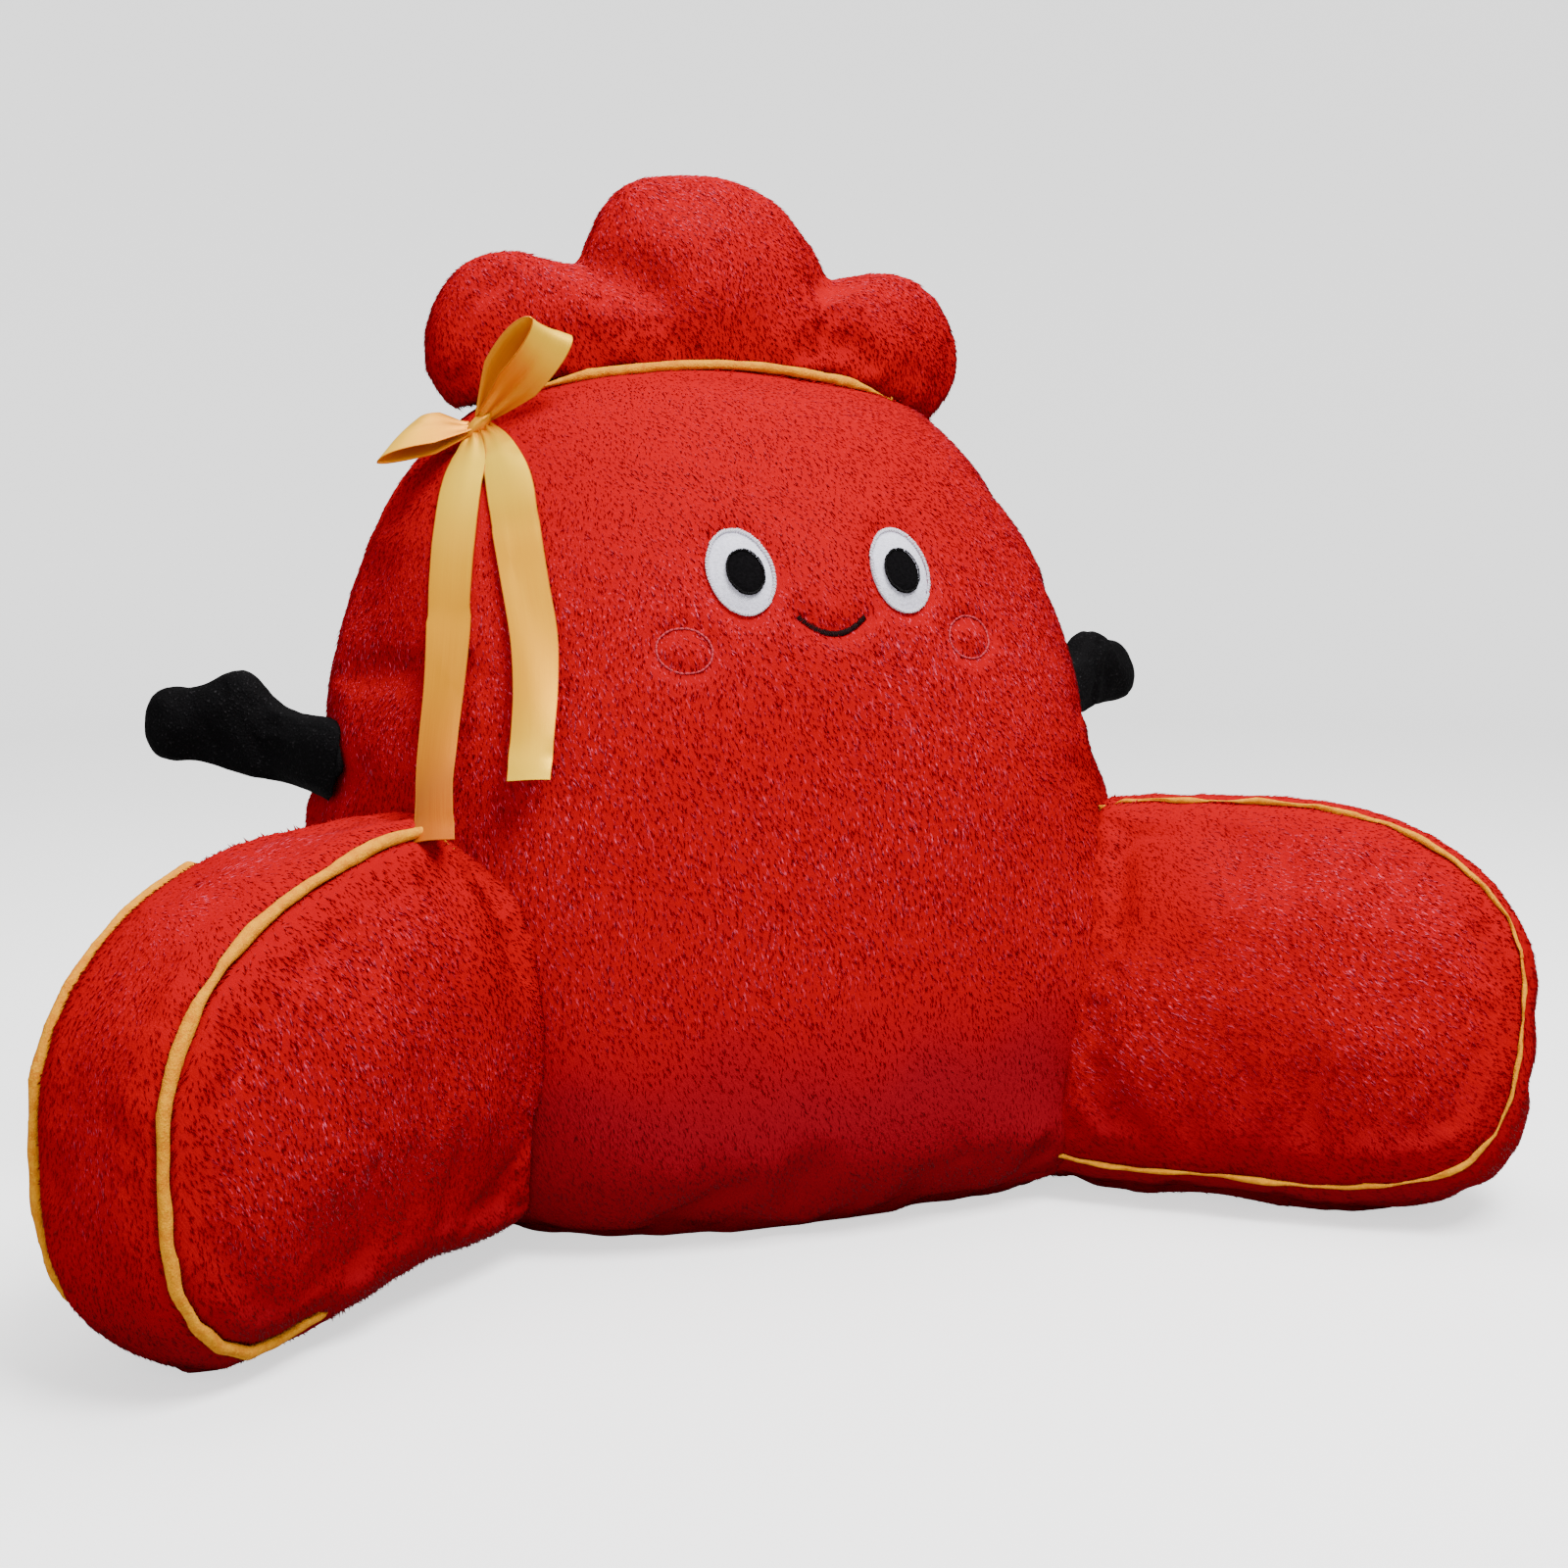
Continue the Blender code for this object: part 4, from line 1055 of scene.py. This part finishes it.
class PILLOW_OT_cords(bpy.types.Operator):
    """Covers the seam cords with uneven velour"""

    bl_idname = "pillow.cords"
    bl_label = "Cords"

    def execute(self, context):
        backrest = solids("backrest")
        for seed, row in enumerate(SUNK_CORDS):
            piece = remeshed(row.node, f"{row.node}_velour", CORD_VOXEL)
            points = points_of(piece)
            swell = waves(points, 0.026, 40 + seed) * row.uneven - row.thinner
            if row.node == "crest_band":
                left = rise(BAND_LEFT - points[:, 0], 0.0, 0.022)
                right = rise(points[:, 0], BAND_RIGHT, 0.024)
                swell -= 0.0022 * left + 0.0026 * right
                slide = np.stack([0.004 * right - 0.012 * left, -0.003 * left,
                                  -0.003 * right - 0.005 * left], axis=1)
            else:
                root = gap_to(backrest, points, 0.15)
                hidden = fall(root, row.hidden, 0.010) * rise(points[:, 2], 0.08, 0.03)
                swell -= 0.0022 * hidden
                slide = np.outer(hidden, (0.0, 0.0, -0.0030))
                slide += np.outer(waves(points, 0.018, 60 + seed) * row.uneven, (0.8, 0.5, 0.3))
            lump_and_settle(piece, swell, slide)
            finish(piece, material_of("cord_velour", cord_velour), row.node,
                   slot="yellow_velour")
        return {"FINISHED"}


class PILLOW_OT_mitts(bpy.types.Operator):
    """Fills the two black mitts"""

    bl_idname = "pillow.mitts"
    bl_label = "Mitts"

    def execute(self, context):
        for word in ("left", "right"):
            root, _, across = limb_plan("mitt", word)

            def rim(points, across=across, root=root):
                return np.abs((points - root) @ across)

            piece = stuffed(f"mitt_{word}", f"mitt_{word}_stuffed", rim)
            draw_in(piece, rim(points_of(piece)), 0.0010, 0.0020)
            lump_and_settle(piece, waves(points_of(piece), 0.030, 31) * 0.0008)
            finish(piece, material_of("mitt_velour", mitt_velour), f"mitt_{word}",
                   slot="black_velour")
        return {"FINISHED"}


# Where a ribbon runs, row by row, with its width, the way across it and its painted sheen there:
# painted highlight and painted shade.
Run = namedtuple("Run", "path widths acrosses shines")


def strip(name, run, pleats, slant):
    """A ribbon on its run: a grid whose rows are laid on it, pleated where it is gathered."""
    last = len(run.path) - 1
    piece = started(bpy.ops.mesh.primitive_grid_add, name, x_subdivisions=12,
                    y_subdivisions=last, size=2)
    flat = points_of(piece)
    laid, shine = np.empty_like(flat), np.empty(len(flat))
    ways = []
    for i, across in enumerate(run.acrosses):
        ahead = (run.path[min(i + 1, last)] - run.path[max(i - 1, 0)]).normalized()
        across = across.normalized()
        ways.append((across, ahead.cross(across).normalized()))
    for k, (x, y, _) in enumerate(flat):
        row = int(round((y + 1) / 2 * last))
        (across, face), width = ways[row], run.widths[row]
        bow = width * 0.03 * (1 - x * x) + pleats(row / last, x)
        laid[k] = (run.path[row] + across * (x * width / 2) + face * bow
                   + slant(row / last, x) + SHIFT)
        shine[k] = run.shines[row]
    place_points(piece, laid)
    # Each point keeps its row's painted sheen: painted highlight and painted shade.
    store(piece, shine=shine)
    piece.data.uv_layers[0].name = "ribbon"
    modify(piece, "SOLIDIFY", thickness=RIBBON_THICKNESS, offset=0.0)
    piece.data.shade_smooth()
    piece.data.set_sharp_from_angle(angle=math.radians(50))
    return piece


class PILLOW_OT_bow(bpy.types.Operator):
    """Ties the satin ribbon: two loops, two free tails and the knot"""

    bl_idname = "pillow.bow"
    bl_label = "Bow"

    def execute(self, context):
        satin = material_of("ribbon_satin", ribbon_satin)
        for shape in LOOP_SHAPES:
            run, piece = self.loop(shape)
            finish(piece, satin, f"bow_loop_{shape.word}", slot="gold_satin")
        for word in TAIL_POINTS:
            run, piece = self.tail(word)
            finish(piece, satin, f"bow_tail_{word}", slot="gold_satin")
        knot = self.knot()
        finish(knot, satin, "bow_knot", slot="gold_satin")
        return {"FINISHED"}

    def loop(self, shape, steps=48):
        """A loop that goes out from the knot, folds over and comes back."""
        axis, across = (BOW_RIGHT * right + BOW_UP * up + BOW_OUT * out
                        for right, up, out in (shape.axis, shape.across))
        axis = axis.normalized()
        across = (across - axis * across.dot(axis)).normalized()
        depth = axis.cross(across)
        if depth.dot(BOW_OUT) < 0:
            depth.negate()
        run = Run([], [], [], [])
        for i in range(steps + 1):
            turn = math.radians(LOOP_FROM + LOOP_TURN * i / steps)
            along = (1 - math.cos(turn)) / 2
            bulge = math.sin(turn) * 1.25 * along ** 0.6
            run.path.append(KNOT_CENTRE + axis * (LOOP_START + shape.length * along)
                            + depth * shape.opening * (bulge if bulge > 0 else bulge * 0.35)
                            + across * shape.slide * max(-bulge, 0.0))
            run.widths.append(RIBBON_WIDTH * min(0.32 + 1.5 * along, 1.0))
            run.acrosses.append(across)
            # Painted sheen: the front layer painted paler towards its fold as a painted highlight,
            # the back layer darker as painted shade.
            run.shines.append(0.30 + 0.62 * along ** 2 if bulge > 0 else 0.24 + 0.25 * along ** 4)

        def pleats(along, x):
            near = math.exp(-min(along, 1 - along) / 0.10)
            return 0.0011 * near * math.sin(x * 7.5 + 1.0) + 0.0004 * math.sin(x * 2.2 + along * 5)

        def slant(along, x):
            return axis * (shape.slant * x * math.sin(math.pi * along) ** 2)

        return run, strip(f"bow_loop_{shape.word}_satin", run, pleats, slant)

    def tail(self, word, steps=64):
        """A free tail that lies on the backrest, its end cut on the slant."""
        rows = TAIL_POINTS[word]
        backrest = solids("backrest")
        run = Run([], [], [], [])
        for i in range(steps + 1):
            *place, width, facing, shine = smooth_row(rows, (len(rows) - 1) * i / steps)
            point = Vector(place)
            run.path.append(point)
            run.widths.append(width)
            run.acrosses.append(backrest.find_nearest(point + SHIFT)[1].lerp(BOW_OUT, facing))
            run.shines.append(shine)
        path = run.path
        for i, normal in enumerate(run.acrosses):
            run.acrosses[i] = normal.cross(path[min(i + 1, steps)] - path[max(i - 1, 0)])
        turned = 1.0 if word == "left" else -1.0
        end = (path[-1] - path[-2]).normalized()

        def pleats(along, x):
            soft = 0.0006 * math.sin(along * 9.0 + x * 1.6 * turned)
            return (0.0012 * math.exp(-along / 0.07) * math.sin(x * 6.5 + 0.6)
                    + soft * min(along * 6, 1.0))

        def slant(along, x):
            return end * (TAIL_SLANT[word] * x * rise(along, 0.85, 0.15))

        return run, strip(f"bow_tail_{word}_satin", run, pleats, slant)

    def knot(self):
        """The ribbon's short wrap, pleated along its turn."""
        piece = started(bpy.ops.mesh.primitive_cylinder_add, "bow_knot_wrap", vertices=40,
                        radius=1.0, depth=2.0, end_fill_type="TRIFAN")
        modify(piece, "SUBSURF", subdivision_type="SIMPLE", levels=2, render_levels=2)
        points = points_of(piece)
        turn = np.arctan2(points[:, 1], points[:, 0])
        along = points[:, 2]
        ends = np.sqrt(np.maximum(1 - np.abs(along) ** 2.5, 0.0)) * 0.5 + 0.5
        pleat = 1 + 0.13 * np.sin(along * 7.0 + np.sin(turn + 0.6) * 2.0)
        radius = np.linalg.norm(points[:, :2], axis=1) * ends * pleat
        placed = (np.outer(along * 0.0062, BOW_RIGHT)
                  + np.outer(radius * np.sin(turn) * 0.0042, BOW_UP)
                  + np.outer(radius * np.cos(turn) * 0.0050, BOW_OUT)
                  + np.outer(along * 0.0040, BOW_UP))
        place_points(piece, placed + np.array(KNOT_CENTRE + SHIFT))
        # Painted sheen along the pleats: painted highlights and painted shade.
        store(piece, shine=0.42 + 0.16 * np.sin(along * 7.0 + turn))
        spread = piece.data.uv_layers[0]
        spread.name = "ribbon"
        for loop in piece.data.loops:
            i = loop.vertex_index
            spread.data[loop.index].uv = (0.5 + 0.4 * along[i], turn[i] / (2 * math.pi))
        piece.data.shade_smooth()
        return piece


def face_out(piece):
    edit(piece, bpy.ops.mesh.normals_make_consistent, inside=False)


class PILLOW_OT_face(bpy.types.Operator):
    """Sews on the felt eyes, the smile and the cheeks"""

    bl_idname = "pillow.face"
    bl_label = "Face"

    def execute(self, context):
        cushion = tree_of(bpy.data.objects["backrest_cushion"])
        looks = {
            "eye": (material_of("white_felt_nap", felt, settings().felt, 0.82), "white_felt",
                    material_of("pale_thread", sewing_thread, PALE_THREAD), 0.0019),
            "pupil": (material_of("black_felt_nap", felt, BLACK_FELT, 0.5), "black_felt",
                      material_of("dark_thread", sewing_thread, DARK_THREAD), 0.0013),
        }
        for patch in PATCHES:
            nap, slot, thread, width = looks[patch.name.split("_")[0]]
            piece = finish(self.patch(patch, cushion), nap, patch.name, slot=slot)
            line = ring_line(patch.x, patch.z, patch.half_width - 0.0004,
                             patch.half_height - 0.0004, 400)
            edge = self.stitches(f"{patch.name}_stitching", cushion, line,
                                 patch.lift + patch.thickness, width, 0.0007)
            finish(edge, thread)
            wide, high = (self.laid_length(patch, cushion, *way) for way in ((1, 0), (0, 1)))
        smile = self.stitches("smile_stitching", cushion, smile_line(400), 0.0004, 0.0032, 0.0008)
        finish(smile, material_of("smile_thread", sewing_thread, settings().thread))
        for word, centre in CHEEK_CENTRES.items():
            line = ring_line(*centre, *CHEEK_HALF, 400)
            cheek = self.stitches(f"cheek_{word}_stitching", cushion, line, 0.0003, 0.0012, 0.0022,
                                  lengthwise=True)
            finish(cheek, material_of("tonal_thread", sewing_thread, TONAL_THREAD, 0.35))
        return {"FINISHED"}

    def patch(self, patch, cushion):
        """An oval of felt: a grid rounded to a disc, laid on the cushion and thickened."""
        piece = started(bpy.ops.mesh.primitive_grid_add, f"{patch.name}_felt", x_subdivisions=28,
                        y_subdivisions=28, size=2)
        laid = points_of(piece)
        x, y = laid[:, 0], laid[:, 1]
        rounded = zip(x * np.sqrt(1 - y * y / 2), y * np.sqrt(1 - x * x / 2))
        for k, (u, v) in enumerate(rounded):
            point, normal = on_front(cushion, patch.x + u * patch.half_width,
                                     patch.z + v * patch.half_height)
            rim = 1 - (u * u + v * v) ** 3
            laid[k] = point + normal * (patch.lift + 0.0007 * rim)
        place_points(piece, laid)
        modify(piece, "SOLIDIFY", thickness=patch.thickness, offset=-1.0)
        face_out(piece)
        piece.data.shade_smooth()
        return piece

    def laid_length(self, patch, cushion, across, up):
        """The felt's real width or height, along the curve that it is laid on."""
        return path_length([on_front(cushion, patch.x + across * t * patch.half_width,
                                     patch.z + up * t * patch.half_height)[0]
                            for t in (2 * i / 24 - 1 for i in range(25))])

    def stitches(self, name, cushion, line, lift, width, pitch, lengthwise=False):
        """A row of small stitches on the cushion, across the line or along it."""
        placed = [on_front(cushion, x, z) for x, z in line]
        path, last = [point for point, _ in placed], len(placed)
        length = path_length(path + path[:1])
        closed = (path[0] - path[-1]).length < length / 50
        if not closed:
            length = path_length(path)
        count = int(length / pitch)
        seed = started(bpy.ops.mesh.primitive_uv_sphere_add, "stitch", segments=6, ring_count=4,
                       radius=1.0)
        stitch = points_of(seed)
        corners = np.array([[face.vertices[k] for k in (0, i, i + 1)]
                            for face in seed.data.polygons
                            for i in range(1, len(face.vertices) - 1)])
        bpy.data.objects.remove(seed, do_unlink=True)
        verts = []
        for i in range(count):
            k = int(i * last / count)
            point, normal = placed[k]
            after = path[(k + 3) % last] if closed else path[min(k + 3, last - 1)]
            before = path[k - 3] if closed else path[max(k - 3, 0)]
            ahead = (after - before).normalized()
            side = normal.cross(ahead).normalized()
            if lengthwise:
                long_way, half, wide_way, wide = ahead, pitch * 0.62, side, width / 2
            else:
                long_way, half = (side + ahead * 0.25).normalized(), width / 2
                wide_way, wide = ahead, pitch * 0.55
            verts.append(np.outer(stitch[:, 2] * half, long_way)
                         + np.outer(stitch[:, 0] * wide, wide_way)
                         + np.outer(stitch[:, 1] * min(wide, 0.0005), normal)
                         + np.array(point + normal * lift))
        faces = (np.arange(count)[:, None, None] * len(stitch) + corners).reshape(-1, 3)
        piece = joined(name, np.concatenate(verts), faces)
        face_out(piece)
        return piece


class PILLOW_OT_pile(bpy.types.Operator):
    """Grows the short plush pile on the backrest, the arms and the crest"""

    bl_idname = "pillow.pile"
    bl_label = "Pile"

    def execute(self, context):
        plush = material_of("plush_pile", plush_pile)
        satin, patches = pieces_named("_satin", "_wrap"), pieces_named("_felt")
        cords, mitts = pieces_named("_velour"), pieces_named("_stuffed")
        for seed, name in enumerate(PILE_COUNTS):
            base = name.split("_pile")[0]
            others = tree_of(*(bpy.data.objects[f"{key}_cushion"] for key in NAP if key != base))

            def weight(points, name=name):
                shown = (points[:, 2] > FOOT_BAND).astype(float)
                if name.startswith("backrest"):
                    shown *= (side_seam_side(points) > 0) == name.endswith("back")
                return shown

            def bare(points, others=others):
                inside = ((others, 0.0), (cords, 0.0), (mitts, MITT_CLEAR))
                beside = ((satin, SATIN_CLEAR), (patches, FELT_CLEAR))
                return np.any([gap_to(tree, points, CLEAR_REACH) < clear
                               for tree, clear in inside]
                              + [np.abs(gap_to(tree, points, CLEAR_REACH)) < clear
                                 for tree, clear in beside], axis=0)

            piece = grow_pile(name, base, weight, bare, cords, 100 + 10 * seed)
            finish(piece, plush, slot="red_plush")
        return {"FINISHED"}


class PILLOW_PT_panel(bpy.types.Panel):
    """The steps that dress the pillow, and its settings"""

    bl_idname = "PILLOW_PT_panel"
    bl_label = "Reading pillow"
    bl_space_type = "VIEW_3D"
    bl_region_type = "UI"
    bl_category = "Pillow"

    def draw(self, context):
        for name in PillowSettings.__annotations__:
            self.layout.prop(context.scene.reading_pillow, name)
        for step in STEPS:
            self.layout.operator(step.bl_idname)


STEPS = (PILLOW_OT_stage, PILLOW_OT_backrest, PILLOW_OT_arms, PILLOW_OT_crest, PILLOW_OT_cords,
         PILLOW_OT_mitts, PILLOW_OT_bow, PILLOW_OT_face, PILLOW_OT_pile)
CLASSES = (PillowSettings, *STEPS, PILLOW_PT_panel)


def register():
    for item in CLASSES:
        bpy.utils.register_class(item)
    bpy.types.Scene.reading_pillow = PointerProperty(type=PillowSettings)


def unregister():
    del bpy.types.Scene.reading_pillow
    for item in reversed(CLASSES):
        bpy.utils.unregister_class(item)


def main():
    register()
    bpy.ops.pillow.stage()
    bpy.ops.pillow.backrest()
    bpy.ops.pillow.arms()
    bpy.ops.pillow.crest()
    bpy.ops.pillow.cords()
    bpy.ops.pillow.mitts()
    bpy.ops.pillow.bow()
    bpy.ops.pillow.face()
    bpy.ops.pillow.pile()


if __name__ == "__main__":
    main()
